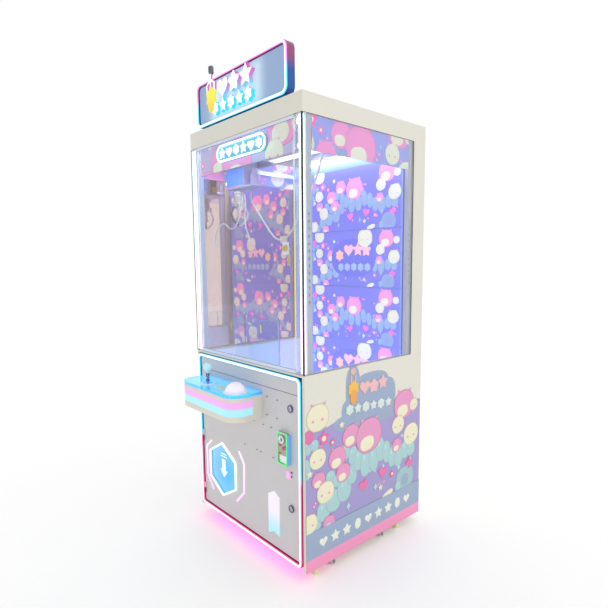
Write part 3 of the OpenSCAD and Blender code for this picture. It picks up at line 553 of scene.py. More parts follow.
door_glass = pane("door glass", (0.985, 1.0, 1.0), (0.25, 0.50, 0.45), "Y")
side_glass = pane("side glass", (0.985, 1.0, 1.0), (0.04, 0.17, 0.12), "X", clear_inside=0.4247)
mirror_glass = pane("left glass", (0.80, 0.62, 0.60), (0.04, 0.17, 0.12), "X", metal=0.75, rough=0.01)
guard_acrylic = pane("guard acrylic", (1.0, 1.0, 1.0), (0.85, 0.95, 1.0), "Z", ior=1.2)
blue_acrylic = pane("blue console acrylic", (0.50, 0.78, 1.0), (0.02, 0.45, 1.0), "Z", rough=0.08)
for node in blue_acrylic.node_tree.nodes:
    if node.type == "BSDF_PRINCIPLED":
        node.inputs["Emission Color"].default_value = (0.12, 0.50, 1.0, 1)
        node.inputs["Emission Strength"].default_value = 0.35
clear_sleeve = pane("clear stick sleeve", (0.85, 0.90, 1.0), (0.85, 0.90, 1.0), "Z", rough=0.03)
pearl_dome = finish("pearl dome", (0.88, 0.86, 0.94), (0.97, 0.93, 0.97), 0.12, coat=0.8, glow=0.22,
                    clear=0.15, film=380.0, depth=0.02)
# The ball glows at 0.18 though it is no lamp: painted light.
ball_moulding = finish("pale cyan ball", (0.45, 0.82, 0.90), (0.66, 0.93, 0.97), 0.1, coat=0.9, glow=0.18,
                       clear=0.25, depth=0.02)
print("glass finishes ready")

# %% [markdown]
# ## Dressing the CAD parts
# Most CAD parts already have the right shape, so they keep it and only get their finish. A table of
# finish to parts says it in one place.

# %% Finishes on the CAD parts
dressing = {
    cream_paint: "side_panels rear_shell sill_frame header console_shell",
    door_paint: "door_panel front_apron",
    front_channel_painted_tube_light: "front_surround", sign_channel_painted_tube_light: "marquee_frame",
    deck_laminate: "prize_bed", backing_blue: "back_wall", bare_board: "base_pan", galvanised: "chute_duct",
    guard_acrylic: "chute_guard", mirror_glass: "side_glass_left", side_glass: "fixed_glass",
    door_glass: "window_glass", white_enamel: "slotted_uprights window_frame",
    brushed_metal: "gantry_rails gantry_beam",
    blue_acrylic: "console_top", band_light: "console_light_band", hex_light: "door_lights",
    coin_casting: "coin_unit", brass_finish: "window_lock", chrome_finish: "coin_return_flap claw_plunger "
    "claw_finger_1 claw_finger_2", lock_core: "lock_upper lock_lower", dark_nickel: "claw_finger_3",
    black_moulding: "power_unit gimbal_ring hoist_drum", zinc_plate: "levelling_feet "
    "castor_fork_1 castor_fork_2 castor_fork_3 castor_fork_4", satin_coil: "claw_housing",
    crane_enamel: "carriage_chassis", pearl_dome: "play_button", ball_moulding: "joystick",
    red_moulding: "coin_reject_button",
    cream_tread: "castor_wheel_1 castor_wheel_2 castor_wheel_3 castor_wheel_4",
}


def dress(node, material):
    """Gives a CAD part its finish."""
    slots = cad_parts[node].data.materials
    slots.clear()
    slots.append(material)


for material, names in dressing.items():
    for node in names.split():
        dress(node, material)
print(sum(len(n.split()) for n in dressing.values()), "CAD parts dressed")

# %% [markdown]
# ## The leads
# Three leads hang in the cabin. The long one crosses from the fixed gantry to the carriage; the two
# short ones belong to the claw. Their routes are the CAD part's own, and each is a smooth curve
# through a few knots.

# %% Leads
festoon_knots = np.array([[-200, -112, 1716], [-197, -114, 1700], [-184, -120, 1676], [-145, -126, 1632],
    [-95, -128, 1580], [-50, -128, 1532], [-10, -128, 1494], [30, -128, 1468], [75, -128, 1461],
    [120, -128, 1480], [165, -128, 1522], [215, -126, 1588], [262, -122, 1660], [300, -118, 1730],
    [325, -116, 1790], [342, -115, 1828], [358, -115, 1839], [370, -115, 1840]]) * MM
plug_knots = np.array([[-230, -144, 1700], [-216, -144, 1700], [-200, -147, 1690], [-190, -151, 1660],
    [-184, -157, 1620], [-178, -164, 1580], [-166, -170, 1545], [-150, -174, 1515], [-134, -175, 1490],
    [-128, -175, 1468]]) * MM
coil_knots = np.array([[-230, -144, 1688], [-220, -147, 1686], [-208, -157, 1664], [-203, -170, 1620],
    [-205, -181, 1576], [-219, -190, 1542], [-244, -196, 1526], [-272, -199, 1532], [-296, -206, 1552],
    [-312, -220, 1548], [-322, -234, 1520], [-325, -242, 1488], [-322, -246, 1462]]) * MM


def lead(name, knots, radius):
    """A round lead along a smooth line through its knots; returns the piece, its line and its length."""
    line = smooth_line(knots, 8)
    points, faces = tube(line, radius)
    piece = put(name, points, faces, white_lead)
    length = float(np.linalg.norm(np.diff(line, axis=0), axis=1).sum())
    print(name, round(length, 3), "m long")
    return piece, line, length


festoon, line, length = lead("festoon_lead", festoon_knots, 4.5 * MM)
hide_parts("festoon_cable")
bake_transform(festoon)


def lead_plug(name, line):
    """A plug on a lead's end: a turned body, (radius, distance) pairs with ribs, along the last direction."""
    end, way = line[-1], line[-1] - line[-4]
    way = way / np.linalg.norm(way)
    d = np.linspace(0, 0.026, 27)
    r = 5.2 * MM + 0.5 * MM * (np.sin(2 * np.pi * d / 0.004) > 0) * (d < 0.017)
    r[d > 0.018] = 4.2 * MM
    outline = np.vstack([[0, -2 * MM], [3.6 * MM, -2 * MM], np.c_[r, d], [0, 0.026]])
    points, faces = turned(outline, (0, 0, 0), "z", 28)
    turn_to = np.array(Vector((0, 0, 1)).rotation_difference(Vector(way)).to_matrix())
    piece = put(name, points @ turn_to.T + end, faces, white_lead, smooth=False)
    return fit(round_edges(piece, 0.3 * MM, 2), "claw", "cable_pvc")


for name, knots, node in (("claw_plug_lead", plug_knots, "plug_lead"),
                          ("claw_coil_lead", coil_knots, "coil_lead")):
    piece, line, length = lead(name, knots, 3.5 * MM)
    fit(piece, "claw", "cable_pvc", node)
    lead_plug(node.replace("lead", "end"), line)
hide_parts("lead_connectors")

# %% [markdown]
# The hoist cord is thin and always taut: a twisted strand from its top straight down to its foot.

# %% Hoist cord
lo, hi = low_high("hoist_string")
foot, top = (lo + hi) / 2 * [1, 1, 0] + [0, 0, lo[2]], (lo + hi) / 2 * [1, 1, 0] + [0, 0, hi[2]]
rows, sides, cord_r = 24, 12, 1.2 * MM
strand = np.linspace(top, foot, rows)
twist = np.linspace(0, 2 * np.pi, sides, endpoint=False)
ply = cord_r * (1 - 0.10 * np.abs(np.sin(1.5 * (twist[None, :] + 40 * np.linspace(0, 1, rows)[:, None]))))
points = strand[:, None, :] + np.stack([ply * np.cos(twist), ply * np.sin(twist), 0 * ply], -1)
faces = grid_faces(rows, sides, False, True).tolist()
faces += [list(range(sides))[::-1], list(range((rows - 1) * sides, rows * sides))]
hoist = put("hoist_cord", points.reshape(-1, 3), faces, string_finish)
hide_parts("hoist_string")
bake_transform(hoist)
print("hoist cord", round(float(top[2] - foot[2]), 3), "m at rest")

# %% [markdown]
# ## The light round the front
# A soft silicone tube sits in the channel. Its section is a rounded square, a superellipse, carried
# round a rectangle with round corners. The attribute "across" lets the finish keep the crown white and
# only its edges coloured, as a bright tube looks.

# %% Light tubes
def light_ring(name, x0, x1, z0, z1, r, half, back, deep, finish_used, body, slot_name, steps=10, sides=20):
    """A tube of superellipse section on the middle line of a round-cornered rectangle."""
    t = np.linspace(0, 2 * np.pi, sides, endpoint=False)
    c, s = np.cos(t), np.sin(t)
    section = np.stack([half * np.sign(c) * np.abs(c) ** 0.5,
                        back - deep / 2 * (1 + np.sign(s) * np.abs(s) ** 0.5)], -1)
    points, faces = swept_ring(x0, x1, z0, z1, r, section, steps)
    ring = put(name, points, faces, finish_used, merge=False)
    light_tube_attribute(ring, sides, len(points) // sides)
    ring.data.flip_normals()
    return fit(ring, body, slot_name)


lo, hi = low_high("front_surround")
ring_x, ring_low, ring_high = hi[0], lo[2], hi[2]
light_ring("front_light_tube", -ring_x + 10 * MM, ring_x - 10 * MM, ring_low + 10 * MM, ring_high - 10 * MM,
           20 * MM, 6.9 * MM, front_y - 1.8 * MM, 8.4 * MM, tube_light, "cabinet", "trim_channel")
lo, hi = low_high("marquee_frame")
sign_x, sign_low, sign_high = hi[0], lo[2] + 6 * MM, hi[2]
light_ring("sign_light_tube", -sign_x + 7 * MM, sign_x - 7 * MM, sign_low + 7 * MM, sign_high - 7 * MM,
           28 * MM, 5.9 * MM, front_y + 0.2 * MM, 8.4 * MM, sign_light, "cabinet", "sign_panel")
print("front tube round", round(2 * ring_x, 3), "by", round(ring_high - ring_low, 3), "m")

# %% [markdown]
# Straight lamps light the cabin: two behind each clear strip at the front corners, two under the roof,
# and one under the cabinet that colours the floor. Each is a block with round edges and end caps.

# %% Straight lamps
def lamp(name, lo, hi, finish_used, edge=2.0):
    """A straight lamp: a long block with round edges."""
    piece = put(name, *block(lo, hi), finish_used, smooth=False)
    round_edges(piece, edge * MM)
    return fit(piece, "cabinet", "door_light")


for side, label in ((-1, "left"), (1, "right")):
    for k, x in enumerate((0.4060, 0.4195)):
        ends = sorted((side * x, side * (x - 0.005)))
        lamp(f"pillar_lamp_{label}_{k + 1}", (ends[0], front_y + 0.012, sill_z + 0.004),
             (ends[1], front_y + 0.019, header_z - 0.004), pillar_light, 1.5)
for label, y in (("front", front_y + 0.045), ("rear", rear_y - 0.105)):
    lamp(f"ceiling_lamp_{label}", (-0.34, y, header_z - 0.012), (0.34, y + 0.028, header_z - 0.001),
         ceiling_light)
lamp("under_glow_front", (-0.38, front_y + 0.034, 0.062), (0.38, front_y + 0.046, 0.072), floor_glow)
print("lamps placed")

# %% [markdown]
# ## Printed panels
# The cabinet and the cabin's back wall carry printed scenes: a violet sky, teal clouds, and round pink
# and cream puffs with hearts, stars and flowers. Each shape is an outline from a formula, given a
# hair's thickness and laid on the panel in order, like cut film. Colour is stored on the points.

# %% Outlines from formulas
def around(n):
    """n even angles round a circle."""
    return np.linspace(0, 2 * np.pi, n, endpoint=False)


def spun(x, y, tilt, at):
    """Turns a shape by tilt and moves it to its place."""
    c, s = math.cos(tilt), math.sin(tilt)
    return np.stack([c * x - s * y, s * x + c * y], -1) + np.asarray(at)


def heart(at, size, tilt=0.0):
    """The heart curve: x = sin cubed, y = 13 cos t - 5 cos 2t - 2 cos 3t - cos 4t, over 16."""
    t = around(36)
    y = (13 * np.cos(t) - 5 * np.cos(2 * t) - 2 * np.cos(3 * t) - np.cos(4 * t)) / 16
    return spun(-size * np.sin(t) ** 3, size * y, tilt, at)


def star(at, size, points=5, waist=0.5, tilt=0.0):
    """A star whose radius swings between size and waist * size."""
    t = around(2 * points) + np.pi / 2
    r = size * np.where(np.arange(2 * points) % 2 == 0, 1.0, waist)
    return spun(r * np.cos(t), r * np.sin(t), tilt, at)


def sparkle(at, size):
    """An astroid: cosine cubed by sine cubed, a little taller than wide."""
    t = around(24)
    return spun(0.7 * size * np.cos(t) ** 3, size * np.sin(t) ** 3, 0, at)


def petals(at, size, count=5, depth=0.24, tilt=0.0, n=50):
    """A ring whose radius swells count times: a flower, or with a small depth a soft puff."""
    t = around(n)
    r = size * (1 + depth * np.cos(count * t)) / (1 + depth)
    return spun(r * np.cos(t), r * np.sin(t), tilt + np.pi / 2, at)


def bean(at, wide, tall, tilt=0.0, square=2.4):
    """A superellipse, fuller than an oval."""
    t = around(36)
    c, s = np.cos(t), np.sin(t)
    return spun(wide * np.sign(c) * np.abs(c) ** (2 / square),
                tall * np.sign(s) * np.abs(s) ** (2 / square), tilt, at)


def band(u0, u1, lower, upper, n=60):
    """A closed strip between two curves over u; lower and upper are numbers or functions of u."""
    u = np.linspace(u0, u1, n)
    low = lower(u) if callable(lower) else np.full(n, lower)
    high = upper(u) if callable(upper) else np.full(n, upper)
    return np.stack([u, low], -1), np.stack([u, high], -1)


print("outlines ready")

# %% [markdown]
# The panel maker turns a list of (outline, colour) into one mesh. Later shapes lie higher, a
# hundredth of a millimetre each, so they cover earlier ones as film does.

# %% Panel maker
FILM = 0.012 * MM


def film_finish(name, glow, rough=0.32):
    """Printed film: the shape's own colour with a fine print grain, and a little light from behind."""
    material, tree, shader, place = new_finish(name)
    ink = tree.nodes.new("ShaderNodeAttribute")
    ink.attribute_name = "ink"
    speck = noise_node(tree, place, 700.0, 2.0)
    colour = mix_colour(tree, math_node(tree, "MULTIPLY", speck, 0.10), ink.outputs["Color"],
                        (0.92, 0.92, 0.96))
    tree.links.new(colour, shader.inputs["Base Color"])
    if glow:
        tree.links.new(colour, shader.inputs["Emission Color"])
        shader.inputs["Emission Strength"].default_value = glow
    wiped(tree, shader, 0.14, rough)
    shader.inputs["Coat Weight"].default_value = 0.2
    bump(tree, shader, group_node(tree, coat_grain, Scale=1500.0), 0.06)
    return material


def printed(name, place, shapes, body, slot_name, finish_used):
    """Lays shapes on a panel; place(u, v, h) gives the point at height h above its surface."""
    points, faces, inks, start = [], [], [], 0
    for level, (outline, ink) in enumerate(shapes):
        h = FILM * (level + 2)
        strip = isinstance(outline, tuple)
        ring = np.vstack([outline[0], outline[1][::-1]]) if strip else outline
        n = len(ring)
        front, back = place(ring[:, 0], ring[:, 1], h), place(ring[:, 0], ring[:, 1], 0.0)
        i = np.arange(n)
        k = (i + 1) % n
        walls = np.stack([i, k, k + n, i + n], -1)
        if strip:
            a = np.arange(n // 2 - 1)
            top = np.stack([a, n - 1 - a, n - 2 - a, a + 1], -1)
            block_points, made = np.vstack([front, back]), np.vstack([walls, top, top[:, ::-1] + n])
        else:
            m = ring.mean(0)
            hub = np.stack([place(m[:1], m[1:], h)[0], place(m[:1], m[1:], 0.0)[0]])
            block_points = np.vstack([front, back, hub])
            made = [tuple(q) for q in walls]
            made += [(b, a, 2 * n) for a, b in zip(i, k)] + [(a + n, b + n, 2 * n + 1) for a, b in zip(i, k)]
        # Painted shading: each shape's ink runs five percent lighter from its foot to its top.
        shade = 1 + 0.05 * (block_points[:, 2] - block_points[:, 2].mean()) / (np.ptp(block_points[:, 2])
            + 1e-6)
        points.append(block_points)
        inks.append(np.clip(np.asarray(ink)[None, :] * shade[:, None], 0, 1))
        faces += [[int(v) + start for v in f] for f in made]
        start += len(block_points)
    piece = put(name, np.vstack(points), faces, finish_used, smooth=False, merge=False)
    ink = piece.data.attributes.new("ink", "FLOAT_COLOR", "POINT")
    ink.data.foreach_set("color", np.c_[np.vstack(inks), np.ones(start)].astype(np.float32).ravel())
    work = bmesh.new()
    work.from_mesh(piece.data)
    bmesh.ops.recalc_face_normals(work, faces=work.faces)
    work.to_mesh(piece.data)
    work.free()
    print(name, len(shapes), "shapes,", len(piece.data.polygons), "faces")
    return fit(piece, body, slot_name)


# %% [markdown]
# A few motifs are used on every panel. A puff is a soft round pompon with a darker rim, two tufts, and a
# pale patch or two rosy spots. The scene itself is a table of ovals and puffs, which any panel can stretch
# to its size.

# %% Motifs
rose, cream_ink, teal, slate = (0.84, 0.31, 0.56), (0.90, 0.86, 0.60), (0.40, 0.66, 0.67), (0.31, 0.41, 0.58)
violet, deep_rose, gold_ink, pale_rose = (0.36, 0.31, 0.63), (0.83, 0.14, 0.40), (0.95, 0.55, 0.03), (0.92,
    0.52, 0.53)
darker = 0.72


def shade_of(ink, factor):
    """The same ink, darker or lighter."""
    return tuple(min(1.0, c * factor) for c in ink)


def puff(at, size, ink, tilt=0.0):
    """A pompon: two pointed tufts, a darker rim, the body, and a pale patch, or on cream two rosy spots."""
    u, v = at
    out = []
    for side in (-1, 1):
        a = np.pi / 2 + side * 0.55 + 0.3 * (tilt - 0.25)
        c, s = math.cos(a), math.sin(a)
        tip, foot = np.array([u + 1.32 * size * c, v + 1.25 * size * s]), np.array([u + 0.75 * size * c,
            v + 0.75 * size * s])
        across = 0.30 * size * np.array([-s, c])
        out += [(np.array([foot - across, foot + across, tip]), rose if ink == cream_ink else ink)]
    out += [(bean(at, size * 1.06, size * 0.99, tilt, 2.2), shade_of(ink, darker)),
            (bean(at, size, size * 0.93, tilt, 2.2), ink)]
    if ink == cream_ink:
        return out + [(bean((u + k * size, v - 0.18 * size), 0.13 * size, 0.10 * size), shade_of(rose, 1.05))
                      for k in (-0.48, 0.42)]
    return out + [(bean((u - 0.15 * size, v - 0.42 * size), 0.55 * size, 0.40 * size, 0.1),
                   shade_of(cream_ink, 1.02))]


def bloom(at, size, ink=deep_rose):
    """A five-petalled flower with a pale eye."""
    return [(petals(at, size), ink), (petals(at, 0.4 * size, 5, 0.1), shade_of(cream_ink, 1.05))]


TEAL_OVALS = ((-0.300, 0.60, 20, 34), (-0.262, 0.598, 22, 24), (-0.306, 0.505, 20, 44),
              (-0.262, 0.246, 34, 30), (-0.212, 0.292, 36, 44), (-0.150, 0.320, 42, 48),
              (-0.085, 0.350, 42, 54), (-0.036, 0.405, 30, 44), (-0.016, 0.455, 26, 40),
              (-0.075, 0.522, 26, 34), (-0.030, 0.492, 26, 42), (0.010, 0.462, 28, 50),
              (0.056, 0.432, 34, 62), (0.112, 0.436, 32, 58), (0.160, 0.470, 30, 58),
              (0.206, 0.446, 28, 54), (0.250, 0.410, 28, 50), (0.300, 0.402, 32, 56),
              (0.352, 0.420, 32, 46), (0.398, 0.412, 30, 36), (-0.170, 0.432, 26, 30),
              (-0.130, 0.405, 24, 28))
PUFFS = ((-0.242, 0.713, 60, cream_ink, 0.1), (-0.244, 0.535, 44, cream_ink, 0.2),
         (-0.128, 0.508, 50, rose, 0.3), (-0.042, 0.587, 52, rose, 0.5), (0.078, 0.560, 84, rose, 0.2),
         (0.337, 0.655, 74, rose, 0.1), (0.292, 0.560, 44, cream_ink, 0.4),
         (0.396, 0.490, 56, cream_ink, 0.3), (0.284, 0.458, 34, rose, 0.6), (-0.092, 0.430, 42, rose, 0.2),
         (-0.240, 0.440, 36, rose, 0.0), (-0.200, 0.375, 48, cream_ink, 0.3),
         (-0.294, 0.262, 44, cream_ink, 0.2), (-0.180, 0.228, 34, rose, 0.1),
         (0.415, 0.640, 30, cream_ink, 0.2))


def garden(at, k, seed):
    """The cloud garland, its puffs, hearts and flowers; at(u, v) places a point and k scales the sizes."""
    out = []
    for u, v in np.random.default_rng(seed).uniform((-0.30, 0.25), (0.42, 0.64), (40, 2)):
        s, place = k * 0.010, at(u, v)
        out += [[(sparkle(place, 1.3 * s), shade_of(teal, 1.3))], [(heart(place, s, 0.3), rose)],
                bloom(place, s), [(star(place, s, 5, 0.5, 0.3), cream_ink)]][len(out) % 4]
    for n, (u, v, a, b) in enumerate(TEAL_OVALS):
        lean, a, b = 0.14 * math.sin(n), a * MM * k, b * MM * k
        x, y = at(u, v)
        out += [(bean((x, y), 1.08 * a, 1.06 * b, lean), shade_of(teal, 0.74)),
                (bean((x, y), a, b, lean), teal),
                (bean((x - 0.3 * a, y + 0.45 * b), 0.2 * a, 0.2 * b), shade_of(teal, 1.2))]
    out += [(bean(at(0.352, 0.268), 0.068 * k, 0.062 * k), shade_of(teal, 0.85)),
            (bean(at(0.352, 0.262), 0.030 * k, 0.030 * k), slate),
            (bean(at(0.296, 0.240), 0.020 * k, 0.026 * k), teal),
            (bean(at(0.216, 0.226), 0.042 * k, 0.016 * k, 0.3), cream_ink)]
    for u, v, r, ink, tilt in PUFFS:
        out += puff(at(u, v), r * MM * k, ink, tilt)
    out += [(heart(at(u, v), 0.031 * k, t), shade_of(deep_rose, 1.05))
            for u, v, t in ((0.043, 0.330, 0.2), (0.178, 0.352, -0.2))]
    for u, v, r in ((-0.209, 0.616, 0.032), (-0.158, 0.586, 0.017), (0.249, 0.322, 0.019)):
        out += bloom(at(u, v), r * k)
    out += [(bean(at(-0.293, 0.640), 0.022 * k, 0.030 * k), deep_rose),
            (petals(at(0.385, 0.340), 0.030 * k, 4, 0.3), deep_rose)]
    out += [(sparkle(at(u, v), 0.022 * k), shade_of(teal, 1.15))
            for u, v in ((0.125, 0.294), (-0.060, 0.262), (0.30, 0.34))]
    out += [(star(at(u, v), 0.017 * k, 5, 0.5), cream_ink)
            for u, v in ((-0.102, 0.651), (-0.290, 0.481), (0.163, 0.279))]
    return out


def scene_bed(u0, u1, v0, v1, seed):
    """The garden stretched over a rectangle; sizes follow the smaller stretch."""
    wide, tall = (u1 - u0) / 0.75, (v1 - v0) / 0.52
    return garden(lambda u, v: (u0 + (u + 0.31) * wide, v0 + (v - 0.215) * tall), 1.08 * min(wide, tall),
                  seed)


print("motifs ready")

# %% [markdown]
# ## The side panels
# Each side has a rose stripe at its foot, a slate band with a row of pale shapes, the violet scene above,
# and a slate cloud in the middle with a generic badge: a heart, a star, a flower and a gold figure.

# %% Side panels
def bumpy_top(u):
    """The top of the violet field: high in the middle, with scallops on it."""
    return 0.664 + 0.006 * np.sin(9 * u + 1) + 0.008 * np.abs(np.sin(34 * u))


SLATE_OVALS = ((-0.030, 0.80, 46, 100), (-0.030, 0.888, 26, 34), (0.100, 0.798, 116, 60),
               (0.080, 0.705, 182, 74), (0.205, 0.730, 64, 84), (0.110, 0.655, 262, 44))


STRIPE_FOOT, BAND_FOOT = 0.0465, 0.101


def side_scene(seed, u0, u1):
    """Everything printed on one side, in the panel's own lengths; the tables give ovals in millimetres."""
    out = [(band(u0, u1, 0.220, bumpy_top, 120), violet)]
    out += [(bean((u, v), a * MM, b * MM, 0, 2.6), slate) for u, v, a, b in SLATE_OVALS]
    out += garden(lambda u, v: (u, v), 1.0, seed)
    out += [(band(u0, u1, BAND_FOOT, 0.222), slate),
            (band(u0, u1, STRIPE_FOOT, BAND_FOOT), (0.95, 0.30, 0.54))]
    out += [(heart((0.046, 0.795), 0.034), pale_rose), (petals((0.108, 0.790), 0.034, 5, 0.16), pale_rose),
            (star((0.172, 0.797), 0.037, 5, 0.55), pale_rose)]
    for k in range(6):
        out.append(([petals, star][k % 2]((-0.052 + 0.053 * k, 0.708 - 0.003 * k), 0.025,
                                          *((6, 0.10) if k % 2 == 0 else (5, 0.6))), (0.72, 0.82, 0.76)))
    out += [(petals((-0.030, 0.878), 0.017, 6, 0.05), (0.80, 0.52, 0.45)),
            (band(-0.046, -0.039, 0.825, 0.862, 4), pale_rose),
            (band(-0.019, -0.012, 0.825, 0.862, 4), pale_rose),
            (star((-0.028, 0.800), 0.038, 6, 0.74), gold_ink),
            (bean((-0.028, 0.762), 0.020, 0.034), (0.95, 0.38, 0.02))]
    for k in range(9):
        u = -0.214 + 0.0725 * k
        shape = [heart((u, 0.157), 0.024), star((u, 0.157), 0.030), petals((u, 0.157), 0.026),
                 bean((u, 0.157), 0.019, 0.025)]
        out.append((shape[k % 4], (0.86, 0.90, 0.78)))
    return out


def clipped(shapes, u0, u1, v0, v1):
    """Keeps each shape's points inside the panel, and drops shapes that lie outside it."""
    out = []
    for outline, ink in shapes:
        ring = np.vstack(outline) if isinstance(outline, tuple) else outline
        if (ring.max(0) <= (u0 + 0.003, v0 + 0.003)).any() or (ring.min(0) >= (u1 - 0.003, v1 - 0.003)).any():
            continue
        cut = [np.clip(o, (u0, v0), (u1, v1))
               for o in (outline if isinstance(outline, tuple) else (outline,))]
        out.append((tuple(cut) if isinstance(outline, tuple) else cut[0], ink))
    return out


vinyl = film_finish("printed vinyl", 0.0)
backlit = film_finish("backlit print", 0.58)
header_film = film_finish("header print", 0.34)
edge = 0.001
for sign, label in ((1, "right"), (-1, "left")):
    panel_ends = (front_y + edge, rear_y - edge)
    shapes = clipped(side_scene(5 + sign, *panel_ends), *panel_ends, STRIPE_FOOT, sill_z)
    printed(f"side_print_{label}", lambda u, v, h, s=sign: np.stack([s * (half_w + h) + 0 * u, u, v], -1),
            shapes, "cabinet", "painted_board", vinyl)

# %% [markdown]
# ## The back wall and the header boards
# The same motifs in cooler colours, lit from behind, fill the back wall in four rows and the
# long board over the window.

# %% Back wall and header boards
def cooler(shapes):
    """Turns the inks towards blue, as they look under the cabin's light; teal turns most, rose least."""
    out = []
    for outline, (r, g, b) in shapes:
        red, green = 1.25 * r - 0.35 * g, g - 0.9 * max(0.0, g - r)
        out.append((outline, (min(1.0, max(0.0, red)), green, min(1.0, 0.5 * b + 0.42))))
    return out


lo, hi = low_high("back_wall")
wall_y = lo[1]
seams = (0.609, 0.916, 1.223, 1.530, hi[2] - 0.001)
sky, border = (0.16, 0.17, 0.80), (0.18, 0.30, 0.95)
for k in range(4):
    v0, v1 = seams[k] + 0.002, seams[k + 1] - 0.003
    floor_v = max(v0, lo[2] + 0.001)
    shapes = [(band(-0.349, 0.349, floor_v, v1, 4), border),
              (band(-0.319, 0.338, floor_v, v1 if k < 3 else v1 - 0.05, 4), sky)]
    scene = scene_bed(-0.317, 0.336, v0 + 0.002, v1 - (0.006 if k < 3 else 0.055), 20 + k)
    if k % 2 == 0:
        scene += [(bean((0.01, v0 + 0.155), 0.165, 0.105), shade_of(sky, 0.85)),
                  (heart((-0.02, v0 + 0.20), 0.036), pale_rose),
                  (star((0.05, v0 + 0.20), 0.042), pale_rose),
                  (petals((0.11, v0 + 0.195), 0.034), pale_rose),
                  (star((-0.09, v0 + 0.17), 0.034, 6, 0.72), gold_ink)]
        scene += [(petals((-0.08 + 0.05 * j, v0 + 0.105), 0.023, 6, 0.1), (0.45, 0.72, 0.80))
                  for j in range(5)]
        scene += puff((0.10, v0 + 0.26), 0.048, cream_ink)
    shapes += cooler(clipped(scene, -0.319, 0.338, floor_v, v1 - (0.0 if k < 3 else 0.05)))
    printed(f"wall_print_{k + 1}", lambda u, v, h: np.stack([u, wall_y - h + 0 * u, v], -1), shapes,
            "cabinet", "printed_wall", backlit)

lo, hi = low_high("banner_boards")
board_z = (lo[2] + 0.001, header_z - 0.001)
shapes = [(band(-0.371, 0.371, *board_z, 4), (0.55, 0.50, 0.85))] + scene_bed(-0.55, 0.42,
    board_z[0] - 0.42, board_z[1] + 0.10, 31)
printed("header_print_front", lambda u, v, h: np.stack([u, front_y + 0.024 - h + 0 * u, v], -1),
        cooler(clipped(shapes, -0.371, 0.371, *board_z)), "cabinet", "printed_wall", header_film)
printed("header_print_rear", lambda u, v, h: np.stack([u, front_y + 0.028 + h + 0 * u, v], -1),
        cooler(clipped(shapes, -0.371, 0.371, *board_z)), "cabinet", "printed_wall", backlit)
side_y = (front_y + 0.057, rear_y - 0.122)
shapes = [(band(*side_y, *board_z, 4), (0.36, 0.40, 0.95))] + scene_bed(-0.36, 0.38, board_z[0] - 0.34,
    board_z[1] + 0.12, 33)
for sign, label in ((1, "right"), (-1, "left")):
    inner, outer = (0.420, 0.421)
    for face, x in (("out", outer), ("in", inner)):
        way = sign if face == "out" else -sign
        printed(f"header_print_{label}_{face}",
                lambda u, v, h, x=x, s=sign, w=way: np.stack([s * x + w * h + 0 * u, u, v], -1),
                cooler(clipped(shapes, *side_y, *board_z)), "cabinet", "printed_wall", header_film)

# %% [markdown]
# ## The header badge and the roof sign
# A light tube runs round the badge over the window, with a row of white shapes in it. The sign on the
# roof has a soft blend of slate and blue, and its raised shapes glow white with coloured sides; the white
# glow is a painted highlight, and the sides' cyan to magenta is painted light from the sign's tube.

# %% Badge and sign
def rounded(outline, low, high, name, finish_used, round_by, axis="y"):
    """A plate of an outline with its edges rounded."""
    piece = put(name, *plate(outline, low, high, axis), finish_used, smooth=False)
    return round_edges(piece, round_by * MM, 2)


def joined(name, parts, finish_used, smooth=False, round_by=None):
    """Several parts as one piece."""
    piece = put(name, *join_parts(parts), finish_used, smooth=smooth)
    return round_edges(piece, round_by * MM, 2) if round_by else piece


badge_z = (board_z[0] + 0.035, board_z[0] + 0.109)
light_ring("badge_light_tube", -0.187, 0.187, badge_z[0] + 0.003, badge_z[1] - 0.003, 0.033, 4.5 * MM,
           front_y + 0.0125, 8 * MM, badge_light, "cabinet", "sign_emblem", 14)
middle = sum(badge_z) / 2
glyphs = []
for k in range(6):
    at, s = (-0.145 + 0.058 * k, middle), 0.0225
    glyphs.append(plate([star(at, 1.15 * s), heart(at, s), petals(at, s, 6, 0.14)][k % 3], front_y + 0.003,
                        front_y + 0.0118))
badge_glass = lit("badge face", (0.02, 0.50, 0.85), (0.10, 0.62, 0.92), badge_z[0], badge_z[1], 0.55)
pill = plate(round_rectangle(-0.182, 0.182, badge_z[0] + 0.008, badge_z[1] - 0.008, 0.028, 12)[0],
             front_y + 0.0108, front_y + 0.0135)
fit(joined("badge_face", [pill], badge_glass, round_by=0.5), "cabinet", "sign_emblem")
fit(joined("badge_glyphs", glyphs, badge_glyph, round_by=1.2), "cabinet", "sign_emblem")

sign_face = lit("sign panel", (0.26, 0.42, 0.62), (0.33, 0.36, 0.56), roof_z + 0.05, roof_z + 0.19, 0.16,
                rough=0.25, base=0.3)
board_face = lit("header board", (0.50, 0.75, 0.95), (0.60, 0.62, 0.92), 1.79, 1.92, 0.2, base=0.3)
glyph_glow, tree, shader, place = new_finish("sign shapes")
front_mask = side_mask(tree, "Y")
# Painted light: the shapes' sides take the sign tube's colours, cyan low and magenta high, and their fronts a
# painted white glow.
tube_light_painted_on_sides = mix_colour(tree, by_height(tree, place, roof_z + 0.08, roof_z + 0.16), (0.0, 0.62, 0.95),
                       (0.55, 0.10, 0.45))
glow = mix_colour(tree, front_mask, tube_light_painted_on_sides, (1.0, 0.97, 1.0))
glow = mix_colour(tree, math_node(tree, "MULTIPLY", noise_node(tree, place, 25.0), 0.08), glow, (1, 1, 1))
glowing(tree, shader, glow, 0.95, 0.3)
gold_glow = lit("gold figure", (1.0, 0.62, 0.0), (1.0, 0.86, 0.0), roof_z + 0.06, roof_z + 0.14, 0.7)
print("sign finishes ready")

# %% [markdown]
# The sign's shapes are CAD parts. Their raised front edges catch light, so the white ones are given a
# glowing finish. A halo stands behind them: soft pale light on the panel, in one thin plate.

